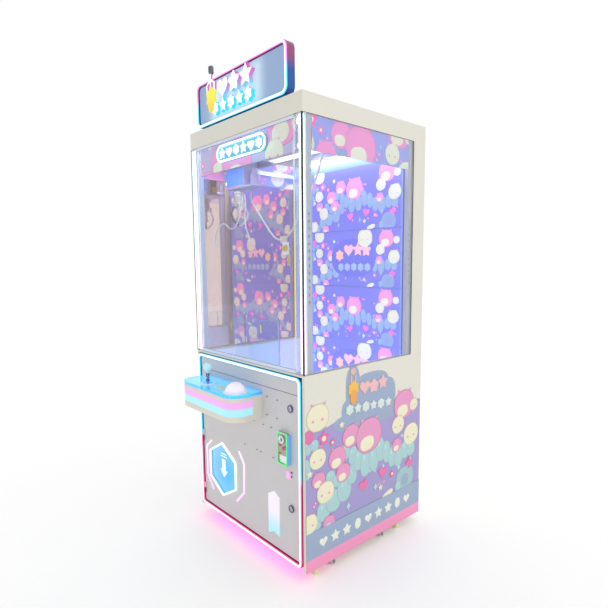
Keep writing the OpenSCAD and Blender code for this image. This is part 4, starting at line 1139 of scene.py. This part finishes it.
# %% Sign halo
zm = (sign_low + sign_high) / 2
halo, tree, shader, place = new_finish("sign halo")
near = tree.nodes.new("ShaderNodeAttribute")
near.attribute_name = "near"
halo_colour = mix_colour(tree, near.outputs["Fac"], (0.27, 0.39, 0.60), (0.72, 0.92, 1.0))
glowing(tree, shader, halo_colour, 0.62)
shader.inputs["Roughness"].default_value = 0.35
inset, corner, cols, rows = 0.017, 0.020, 120, 40
u, v = np.meshgrid(np.linspace(-sign_x + inset, sign_x - inset, cols),
                   np.linspace(sign_low + inset, sign_high - inset, rows))
du = np.maximum(np.abs(u) - (sign_x - inset - corner), 0)
dv = np.maximum(np.abs(v - zm) - ((sign_high - sign_low) / 2 - inset - corner), 0)
pull = np.maximum(np.hypot(du, dv) / corner, 1)
u = np.sign(u) * (np.abs(u) - du + du / pull)
v = zm + np.sign(v - zm) * (np.abs(v - zm) - dv + dv / pull)
face = np.stack([u, np.full_like(u, front_y + 5.2 * MM), v], -1).reshape(-1, 3)
rear = face + [0, 0.5 * MM, 0]
quads = grid_faces(rows, cols)
rim = np.r_[np.arange(cols), cols * np.arange(2, rows + 1) - 1,
            cols * (rows - 1) + np.arange(cols - 2, -1, -1), cols * np.arange(rows - 2, 0, -1)]
n = len(face)
walls = np.stack([rim, np.roll(rim, -1), np.roll(rim, -1) + n, rim + n], -1)
panel = put("sign_halo_panel", np.vstack([face, rear]), np.vstack([quads, quads[:, ::-1] + n, walls]), halo,
            merge=False)
reach = np.hypot(np.maximum(np.abs(face[:, 0] + 0.03) - 0.165, 0),
                 np.maximum(np.abs(face[:, 2] - zm + 0.006) - 0.055, 0))
glow_near = 0.7 * np.exp(-(reach / 0.045) ** 2)
near_values = panel.data.attributes.new("near", "FLOAT", "POINT")
near_values.data.foreach_set("value", np.tile(glow_near, 2).astype(np.float32))
fit(panel, "cabinet", "sign_panel")
for node, material in (("marquee_panel", sign_face), ("marquee_emblem", glyph_glow),
                       ("banner_boards", board_face)):
    dress(node, material)
figure_x = -0.196
gold = [plate(star((figure_x, zm + 0.012), 0.048, 6, 0.74), front_y - 16.6 * MM, front_y - 9 * MM),
        plate(petals((figure_x, zm - 0.030), 0.030, 5, 0.125), front_y - 17.0 * MM, front_y - 9 * MM)]
fit(joined("sign_gold_figure", gold, gold_glow, round_by=1.5), "cabinet", "sign_emblem")
cap = [(0.0, -0.020), (0.0095, -0.019), (0.0125, -0.012), (0.0125, 0.010), (0.0105, 0.014), (0.0, 0.0145)]
cap_at = (figure_x, front_y - 11 * MM, zm + 0.132)
fit(put("sign_claw_cap", *turned(cap, cap_at, "z", 36), dark_nickel), "cabinet", "sign_emblem")
print("sign", round(2 * sign_x, 3), "m wide")

# %% [markdown]
# ## The console
# The console's top is a thick sheet of blue acrylic with a joystick and a domed button. Around the
# button stand two turned rings, like steps. The joystick has a white collar under its ball and a clear
# sleeve over a violet shaft.

# %% Button rings, joystick collar and sleeve
lo, hi = low_high("play_button")
button = (lo + hi) / 2
top_z = low_high("console_top")[1][2] - 9 * MM
# The rings glow at 0.12 though they are no lamp: painted light.
pearl_ring = finish("pearl button ring", (0.80, 0.84, 0.98), (0.95, 0.88, 0.96), 0.15, coat=0.8, glow=0.12,
                    film=420.0, depth=0.02)
ring_r = 0.0558
steps = [(0.0466, 0.0092), (0.0500, 0.0092), (0.0512, 0.0086), (0.0516, 0.0050), (0.0545, 0.0044),
         (0.0556, 0.0034), (ring_r, 0.0002), (0.0466, 0.0002)]
ring = put("button_stepped_ring", *turned(steps + steps[:1], (button[0], button[1], top_z), "z", 72),
           pearl_ring)
round_edges(fit(ring, "front_door", "button_plastic"), 0.5 * MM, 2)
lo, hi = low_high("joystick")
ball_r = (hi[0] - lo[0]) / 2
stick = np.array([(lo[0] + hi[0]) / 2, (lo[1] + hi[1]) / 2, hi[2] - ball_r])
collar = [(0.0052, -0.030), (0.0078, -0.030), (0.0105, -0.024), (0.0128, -0.0185), (0.0118, -0.0155),
          (0.0052, -0.0155)]
piece = put("stick_collar", *turned(collar + collar[:1], stick, "z", 40), white_lead)
fit(piece, "joystick", "button_plastic")
sleeve = [(0.0066, -0.070), (0.0085, -0.070), (0.0085, -0.031), (0.0066, -0.031)]
fit(put("stick_clear_sleeve", *turned(sleeve + sleeve[:1], stick, "z", 40), clear_sleeve), "joystick",
    "stick_plastic")
shaft = [(0.0, -0.1195), (0.0056, -0.119), (0.0058, -0.090), (0.0056, -0.0305), (0.0, -0.030)]
fit(put("stick_violet_shaft", *turned(shaft, stick, "z", 32), stick_violet), "joystick", "stick_plastic")
boot = [(0.0335, 0.0), (0.0345, 0.0), (0.0348, 0.0035), (0.0335, 0.0048), (0.026, 0.0052), (0.0235, 0.0045),
        (0.0232, 0.0), (0.0335, 0.0)]
piece = put("stick_base_ring", *turned(boot, (stick[0], stick[1], top_z), "z", 56), pearl_ring)
fit(piece, "front_door", "button_plastic")
piece = rounded(bean(((stick[0] + button[0]) / 2 - 0.006, button[1] - 0.004), 0.033, 0.021, 0.0, 3.0), top_z,
                top_z + 1.6 * MM, "console_oval_plate", pale_oval, 0.5, "z")
fit(piece, "front_door", "button_plastic")
print("ball", round(2 * ball_r, 3), "m, button ring", round(2 * ring_r, 3), "m across")

# %% [markdown]
# ## The lights on the door
# The prize outlet has a hexagonal light, two bent light lines beside it, and an arrow. The bent lines are
# strokes: each corner is mitred, so the line keeps its width round the bend.

# %% Door lights
def stroke(points, width):
    """The outline of a line: at each corner the two edges meet on the bisector of the two directions."""
    p = np.asarray(points, float)
    way = np.diff(p, axis=0)
    way /= np.linalg.norm(way, axis=1)[:, None]
    side = np.stack([-way[:, 1], way[:, 0]], -1)
    a, b = np.vstack([side[:1], side]), np.vstack([side, side[-1:]])
    out = width / 2 * (a + b) / (1 + (a * b).sum(1))[:, None]
    return p + out, p - out


def bar_plate(points, width, low, high):
    """A stroke given thickness, as quads between its two edges and walls round it."""
    left, right = stroke(points, width)
    ring = np.vstack([left, right[::-1]])
    n, m = len(ring), len(left)
    pts = np.stack([np.tile(ring[:, 0], 2), np.r_[np.full(n, low), np.full(n, high)],
                    np.tile(ring[:, 1], 2)], -1)
    i, a = np.arange(n), np.arange(m - 1)
    walls = np.stack([i, (i + 1) % n, (i + 1) % n + n, i + n], -1)
    top = np.stack([a, n - 1 - a, n - 2 - a, a + 1], -1)
    return pts, np.vstack([walls, top, top[:, ::-1] + n])


hexagon_at, hexagon_r = np.array([-0.207, 0.309]), 0.1375
bracket_light = lit("bracket light", (1.0, 0.62, 0.95), (1.0, 0.80, 0.97), 0.15, 0.45, 0.85)
arrow_light = lit("arrow light", (0.45, 0.90, 1.0), (0.97, 0.90, 1.0), 0.15, 0.27, 0.62)
hexagon_glow = lit("hexagon glow", (0.80, 0.97, 1.0), (0.92, 0.99, 1.0), 0.15, 0.45, 1.0, (1, 1, 1))
angle = np.arange(6) * np.pi / 3 + np.pi / 2
t = around(16)
c, s = np.cos(t), np.sin(t)
section = np.stack([4.6 * MM * np.sign(c) * np.abs(c) ** 0.6,
                    front_y - 4.2 * MM - 4.6 * MM * np.sign(s) * np.abs(s) ** 0.6], -1)
ray = np.stack([np.cos(angle), np.sin(angle)], -1)
reach = hexagon_r + section[:, 0] / math.cos(math.pi / 6)
xz = hexagon_at + reach[None, :, None] * ray[:, None, :]
points = np.stack([xz[..., 0], np.broadcast_to(section[None, :, 1], xz.shape[:2]), xz[..., 1]],
                  -1).reshape(-1, 3)
hexagon = put("outlet_hexagon_light", points, grid_faces(len(ray), 16, True, True), hexagon_glow, merge=False)
light_tube_attribute(hexagon, 16, len(ray))
hexagon.data.flip_normals()
fit(hexagon, "front_door", "door_light", "door_lights")
low, high = front_y - 6.0 * MM, front_y - 0.2 * MM
left_line = np.array([(-311, 434), (-361, 393), (-361, 238), (-303, 168)]) * MM
right_line = np.array([(-55, 449), (-13, 396), (-17, 249), (-84, 182)]) * MM
bars = [bar_plate(line, 9 * MM, low, high) for line in (left_line, right_line)]
fit(joined("outlet_bracket_lights", bars, bracket_light, round_by=1.8), "front_door", "door_light")
arrow = np.array([(181, 133), (221, 154), (260, 143), (260, 325), (224, 346), (181, 321)]) * MM
fit(rounded(arrow, low, high, "door_arrow_light", arrow_light, 1.5), "front_door", "door_light")
print("hexagon light", round(2 * hexagon_r, 3), "m across its corners")

# %% [markdown]
# The outlet's flap is blue acrylic with light behind it, brightest low down, and carries a plain white
# arrow that points into the outlet.

# %% Outlet flap
flap_glow, tree, shader, place = new_finish("outlet flap")
parts = tree.nodes.new("ShaderNodeSeparateXYZ")
tree.links.new(place, parts.inputs[0])
dx = math_node(tree, "SUBTRACT", parts.outputs["X"], float(hexagon_at[0]) + 0.03)
dz = math_node(tree, "SUBTRACT", parts.outputs["Z"], float(hexagon_at[1]) - 0.02)
far = math_node(tree, "SQRT", math_node(tree, "ADD", math_node(tree, "MULTIPLY", dx, dx),
                                        math_node(tree, "MULTIPLY", dz, dz)))
tone = mix_colour(tree, math_node(tree, "MULTIPLY", far, 7.0, True), (0.0, 0.50, 1.0), (0.20, 0.58, 0.97))
glowing(tree, shader, tone, 0.6)
shader.inputs["Roughness"].default_value = 0.12
shader.inputs["Coat Weight"].default_value = 0.5
bump(tree, shader, group_node(tree, coat_grain, Scale=500.0), 0.03)
dress("prize_flap", flap_glow)
x, z = hexagon_at
head = np.array([(x - 0.036, z - 0.006), (x, z - 0.046), (x + 0.036, z - 0.006), (x + 0.017, z - 0.006),
                 (x + 0.017, z + 0.050), (x - 0.017, z + 0.050), (x - 0.017, z - 0.006)])
pale_print = finish("pale print", (0.80, 0.93, 1.0), (0.86, 0.96, 1.0), 0.3, glow=0.3)
flap_y = low_high("prize_flap")[0][1]
shaft_part = plate(head[[3, 4, 5, 6]], flap_y - 1.2 * MM, flap_y + 0.3 * MM)
tip_part = plate(head[[0, 1, 2]], flap_y - 1.2 * MM, flap_y + 0.3 * MM)
bars = [plate([(x - w, z + 0.062 + d), (x + w, z + 0.062 + d), (x + w, z + 0.068 + d),
               (x - w, z + 0.068 + d)], flap_y - 1.2 * MM, flap_y + 0.3 * MM)
               for w, d in ((0.030, 0.0), (0.022, 0.013))]
fit(joined("outlet_arrow_print", [shaft_part, tip_part] + bars, pale_print), "prize_flap", "flap_acrylic")
print("outlet flap's front at y", round(float(flap_y), 4))

# %% [markdown]
# ## Small marks and the liners
# A yellow line runs down the edge of the opening window, and a short yellow mark is on the clear guard.
# Pale blue sheets line the cabin's side walls beside the deck.

# %% Marks and liners
# The yellow print glows at 0.35 though it is no lamp: painted light.
yellow_print = finish("yellow print", (0.90, 0.80, 0.10), (0.96, 0.88, 0.16), 0.3, glow=0.35)
lo, hi = low_high("window_glass")
line_part = block((hi[0] - 0.0035, lo[1] - 0.7 * MM, lo[2] + 0.02),
                  (hi[0] - 0.0010, lo[1] + 0.3 * MM, hi[2] - 0.09))
fit(joined("window_edge_line", [line_part], yellow_print, round_by=0.3), "window_door", "clear_acrylic")
lo, hi = low_high("chute_guard")
x = lo[0] + 0.42 * (hi[0] - lo[0])
mark_part = block((x, hi[1] - 5.8 * MM, hi[2] - 0.092), (x + 0.008, hi[1] - 4.7 * MM, hi[2] - 0.046))
fit(joined("guard_yellow_mark", [mark_part], yellow_print, round_by=0.3), "cabinet", "clear_acrylic")
bed_top, wall_x = low_high("prize_bed")[0][2] + 14 * MM, low_high("prize_bed")[1][0]
# The liners glow at 0.25 though they are no lamp: painted light from the cabin lamps.
liner = finish("pale blue liner", (0.70, 0.78, 0.96), (0.75, 0.82, 0.98), 0.45, dust=0.0, glow=0.25)
for sign, label in ((1, "right"), (-1, "left")):
    ends = sorted((sign * (wall_x - 1.2 * MM), sign * (wall_x + 0.2 * MM)))
    sheet = block((ends[0], front_y + 0.052, bed_top + 0.001), (ends[1], rear_y - 0.070, sill_z - 0.0115))
    fit(joined(f"bed_liner_{label}", [sheet], liner, round_by=0.3), "cabinet", "deck_board")
print("deck liners", round(sill_z - 0.0115 - bed_top, 3), "m tall")

# %% [markdown]
# ## The coin unit and the marks beside it
# The coin unit is a casting in a lit green frame, with a ring round its button and two red labels. Its
# right side is a lit moulding. Beside it are two small black slots and a pink lens.

# %% Coin unit details
coin_lo, coin_hi = low_high("coin_unit")
coin_x = (coin_lo[0] + coin_hi[0]) / 2
face_y = coin_lo[1]
top = coin_hi[2]


def coin_frame(grow, r, bar, low, high):
    """A rectangular frame with round corners round the coin unit, larger than its face by grow all round."""
    section = [(-bar, low), (0.0, low), (0.0, high), (-bar, high)]
    return swept_ring(coin_lo[0] - grow, coin_hi[0] + grow, coin_lo[2] - grow, top + grow, r, section, 6)


bezel = coin_frame(-1 * MM, 5 * MM, 4.5 * MM, face_y + 4.5 * MM, face_y + 1.0 * MM)
fit(joined("coin_bezel_light", [bezel], green_light, round_by=0.9), "front_door", "coin_face")
escutcheon = [(6 * MM, 1 * MM), (6 * MM, -2.2 * MM), (11 * MM, -2.6 * MM), (12.5 * MM, -4.4 * MM),
              (15.5 * MM, -4.6 * MM), (17.5 * MM, -3.0 * MM), (18 * MM, 1 * MM)]
piece = put("coin_escutcheon", *turned(escutcheon + escutcheon[:1], (coin_x, face_y, top - 0.030), "y", 48),
            chrome_finish)
fit(piece, "front_door", "coin_face")
labels = [plate(round_rectangle(coin_x + dx - 8 * MM, coin_x + dx + 8 * MM, z - 4 * MM, z + 4 * MM,
                                1.5 * MM, 4)[0], face_y + 2.6 * MM, face_y + 4.4 * MM)
                                for dx, z in ((-0.014, top - 0.058), (-0.016, top - 0.095))]
fit(joined("coin_red_labels", labels, red_moulding, round_by=0.3), "front_door", "coin_face")
side = plate(round_rectangle(coin_lo[1] + 4 * MM, coin_hi[1] - 1.5 * MM, coin_lo[2] + 6 * MM, top - 6 * MM,
                             3 * MM, 5)[0], coin_hi[0] - 0.3 * MM, coin_hi[0] + 2.2 * MM, "x")
fit(joined("coin_unit_side_light", [side], coin_body, round_by=0.9), "front_door", "coin_face")
rim = coin_frame(1.5 * MM, 7 * MM, 3 * MM, front_y - 0.2 * MM, front_y - 5.5 * MM)
fit(joined("coin_unit_rim", [rim], white_enamel, round_by=0.9), "front_door", "coin_face")
screws = [turned([(0.0, -1.4 * MM), (1.5 * MM, -1.3 * MM), (2.6 * MM, -0.5 * MM), (2.8 * MM, 0.5 * MM),
                  (0.0, 0.5 * MM)], (coin_x + dx, face_y, z), "y", 20) for dx in (-0.024, 0.024)
                  for z in (top - 0.062, coin_lo[2] + 0.010)]
fit(joined("coin_unit_screws", screws, zinc_plate, smooth=True), "front_door", "coin_face")
slots = [plate(round_rectangle(0.345, 0.352, z - 4 * MM, z + 4 * MM, 2 * MM, 4)[0], front_y - 5.2 * MM,
               front_y - 3.6 * MM) for z in (0.451, 0.470)]
fit(joined("door_edge_slots", slots, black_moulding, round_by=0.3), "front_door", "coin_face")
pink_spot = lit("pink spot", (1.0, 0.35, 0.75), (1.0, 0.35, 0.75), 0.4, 0.5, 0.9)
spot = plate(bean((0.326, 0.452), 0.014, 0.017), front_y - 5.0 * MM, front_y - 3.8 * MM)
fit(joined("pink_spot_lens", [spot], pink_spot, round_by=0.4), "front_door", "coin_face")
print("coin unit", round(coin_hi[0] - coin_lo[0], 3), "m wide")

# %% [markdown]
# ## Locks and screws
# The two door locks each have a turned violet ring. Small pan-head screws sit in the door and hold the
# corner strips. Each screw is a dome with a cross cut in it.

# %% Lock rings and screws
r = 11 * MM
for label, lock_z in (("upper", 0.747), ("lower", 0.306)):
    lo, hi = low_high(f"lock_{label}")
    at = (hi[0] - r, front_y - 4.5 * MM, lock_z)
    outline = [(r + 0.6 * MM, 1 * MM), (r + 0.6 * MM, -1.5 * MM), (r + 1.6 * MM, -3.0 * MM),
               (r + 3.6 * MM, -3.0 * MM), (r + 5.2 * MM, -1.6 * MM), (r + 5.6 * MM, 0.0),
               (r + 5.6 * MM, 1 * MM)]
    fit(put(f"lock_ring_{label}", *turned(outline + outline[:1], at, "y", 44), ring_violet), "front_door",
        "chrome_lock")


def cross_screw(at, r, axis):
    """A pan-head screw: a low dome with two crossed slots cut down to one third of its height."""
    rings, sides = np.linspace(0.02, 1.0, 9), 40
    t = around(sides)
    x, y = rings[:, None] * r * np.cos(t), rings[:, None] * r * np.sin(t)
    slot = (np.minimum(np.abs(x), np.abs(y)) < 0.15 * r) & (np.hypot(x, y) < 0.62 * r)
    h = 0.55 * r * np.sqrt(np.clip(1 - (0.9 * rings[:, None]) ** 2, 0, 1)) * np.where(slot, 0.35, 1.0)
    x, y, h = (np.vstack([a, a[-1:], 0 * a[-1:]]) for a in (x, y, h))
    h[-2:] = -0.4 * r
    order = {"y": (x, -h, y), "x": (h, x, y), "-x": (-h, x, y)}[axis]
    points = np.stack(order, -1).reshape(-1, 3) + np.asarray(at)
    faces = grid_faces(len(x), sides, False, True).tolist() + [list(range(sides))]
    return points, faces


door_screw_places = ((181, 769), (255, 767), (178, 685), (251, 684), (77, 636), (149, 633), (206, 633),
                     (-2, 500), (95, 500), (126, 499), (220, 499))
door_screws = [cross_screw((x * MM, front_y - 4.3 * MM, z * MM), 2.6 * MM, "y") for x, z in door_screw_places]
fit(joined("door_panel_screws", door_screws, dark_nickel), "front_door", "door_sheet")
window_screws = [cross_screw((s * x, front_y - 0.3 * MM, z), 3.0 * MM, "y") for s in (-1, 1) for x, z in
                 ((0.4115, header_z - 0.030), (0.4115, sill_z + 0.030), (0.4115, 1.36))]
fit(joined("corner_strip_screws", window_screws, zinc_plate), "cabinet", "clear_glass")
print("locks and screws placed")

# %% [markdown]
# ## The carriage's covers
# The motor hangs over the claw under a bright blue cover with paler sides and a pink lip, and a gold cap
# sits on it; the paler sides and the glow of the cover and its lip are painted light. Beside it hangs a
# dark bracket with a yellow edge.

# %% Carriage cover, motor cap and bracket
cover_blue, tree, shader, place = new_finish("carriage cover")
# Painted light: faces that don't look along Y are paler, and the cover glows though it is no lamp.
front_mask_sides_painted_lit = side_mask(tree, "Y")
tone = mix_colour(tree, front_mask_sides_painted_lit, (0.36, 0.52, 0.86), (0.05, 0.30, 0.95))
tone = mix_colour(tree, math_node(tree, "MULTIPLY", noise_node(tree, place, 30.0), 0.2), tone,
                  (0.50, 0.70, 1.0))
tree.links.new(tone, shader.inputs["Base Color"])
tree.links.new(tone, shader.inputs["Emission Color"])
shader.inputs["Emission Strength"].default_value = 0.22
wiped(tree, shader, 0.15, 0.22)
shader.inputs["Coat Weight"].default_value = 0.4
bump(tree, shader, group_node(tree, coat_grain, Scale=900.0), 0.05)
dress("carriage_cover", cover_blue)
cover_lo, cover_hi = low_high("carriage_cover")
# The lip's glow of 0.15 is painted light.
lip_pink = finish("pink cover lip", (0.95, 0.35, 0.62), (0.98, 0.48, 0.70), 0.25, coat=0.4, glow=0.15)
lip = plate(round_rectangle(cover_lo[0] - 1 * MM, cover_hi[0] + 1 * MM, cover_lo[2] - 2.5 * MM,
                            cover_lo[2] + 2.5 * MM, 2 * MM, 4)[0], cover_lo[1] - 1.8 * MM,
                            cover_lo[1] + 1.5 * MM)
fit(joined("cover_front_lip", [lip], lip_pink, round_by=0.8), "carriage", "crane_cover")
cap_gold = finish("gold motor cap", (0.90, 0.62, 0.10), (0.96, 0.74, 0.22), 0.22, 0.7, coat=0.3)
cap_at = (cover_hi[0] - 0.048, (cover_lo[1] + cover_hi[1]) / 2, cover_hi[2])
cap = [(0.0, 5 * MM), (6 * MM, 5 * MM), (9 * MM, 3.5 * MM), (10 * MM, 0.5 * MM), (10 * MM, -0.5 * MM),
       (0.0, -0.5 * MM)]
fit(put("motor_cap", *turned(cap, cap_at, "z", 32), cap_gold), "carriage", "crane_cover")
yellow_edge = finish("yellow bracket edge", (0.90, 0.80, 0.08), (0.95, 0.86, 0.16), 0.3, coat=0.2)
y_mid = (cover_lo[1] + cover_hi[1]) / 2
dark = plate([(cover_lo[0] - 0.022, cover_lo[2] + 0.004), (cover_lo[0] - 0.004, cover_lo[2] + 0.004),
              (cover_lo[0] - 0.004, cover_hi[2] - 0.006), (cover_lo[0] - 0.012, cover_hi[2] - 0.006)],
             y_mid - 14 * MM, y_mid + 14 * MM)
fit(joined("cover_side_bracket", [dark], dark_nickel, round_by=1.0), "carriage", "crane_cover")
strip_part = block((cover_lo[0] - 0.0235, y_mid - 15 * MM, cover_lo[2] + 0.003),
                   (cover_lo[0] - 0.0215, y_mid + 15 * MM, cover_lo[2] + 0.030))
fit(joined("bracket_yellow_edge", [strip_part], yellow_edge, round_by=0.6), "carriage", "crane_cover")
print("carriage cover", np.round(cover_hi - cover_lo, 3), "m")

# %% [markdown]
# ## The claw's collars
# The claw's housing has three turned rings: at its top, below the leads and at its foot.

# %% Claw collars
claw_x, claw_y, housing_r = -0.255, -0.144, 0.025
rings = []
for z, r, tall in ((1.7085, housing_r, 5 * MM), (1.690, housing_r, 4 * MM), (1.6555, housing_r, 5 * MM)):
    profile = [(r - 1.5 * MM, -tall / 2), (r + 0.9 * MM, -tall / 2), (r + 1.5 * MM, -tall / 4),
               (r + 1.5 * MM, tall / 4), (r + 0.9 * MM, tall / 2), (r - 1.5 * MM, tall / 2)]
    rings.append(turned(profile + profile[:1], (claw_x, claw_y, z), "z", 48))
collar_piece = joined("claw_housing_rings", rings, chrome_finish, smooth=True)
fit(round_edges(collar_piece, 0.3 * MM, 2), "claw", "claw_coil")
print("claw housing", round(2 * housing_r, 3), "m across")

# %% [markdown]
# ## Floor and light
# The studio is white all round, a little dimmer in front, so the side catches more light than the
# face. The pale floor gives back a little light.

# %% Floor, light and finish
world = bpy.data.worlds.new("studio")
bpy.context.scene.world = world
world.use_nodes = True
tree = world.node_tree
background = tree.nodes["Background"]
split = tree.nodes.new("ShaderNodeSeparateXYZ")
tree.links.new(tree.nodes.new("ShaderNodeTexCoord").outputs["Generated"], split.inputs[0])
remap = tree.nodes.new("ShaderNodeMapRange")
for label, value in (("From Min", -0.9), ("From Max", 0.1), ("To Min", 0.66), ("To Max", 1.0)):
    remap.inputs[label].default_value = value
tree.links.new(split.outputs["Y"], remap.inputs["Value"])
tree.links.new(remap.outputs["Result"], background.inputs["Strength"])
background.inputs["Color"].default_value = (1, 1, 1, 1)
reach = 12.0
floor_finish = finish("studio floor", (0.90, 0.90, 0.90), (0.92, 0.92, 0.92), 0.5, dust=0.0, glow=0.20)
floor = put("floor", [(-reach, -reach, 0), (reach, -reach, 0), (reach, reach, 0), (-reach, reach, 0)],
            [(0, 1, 2, 3)], floor_finish, smooth=False, merge=False)
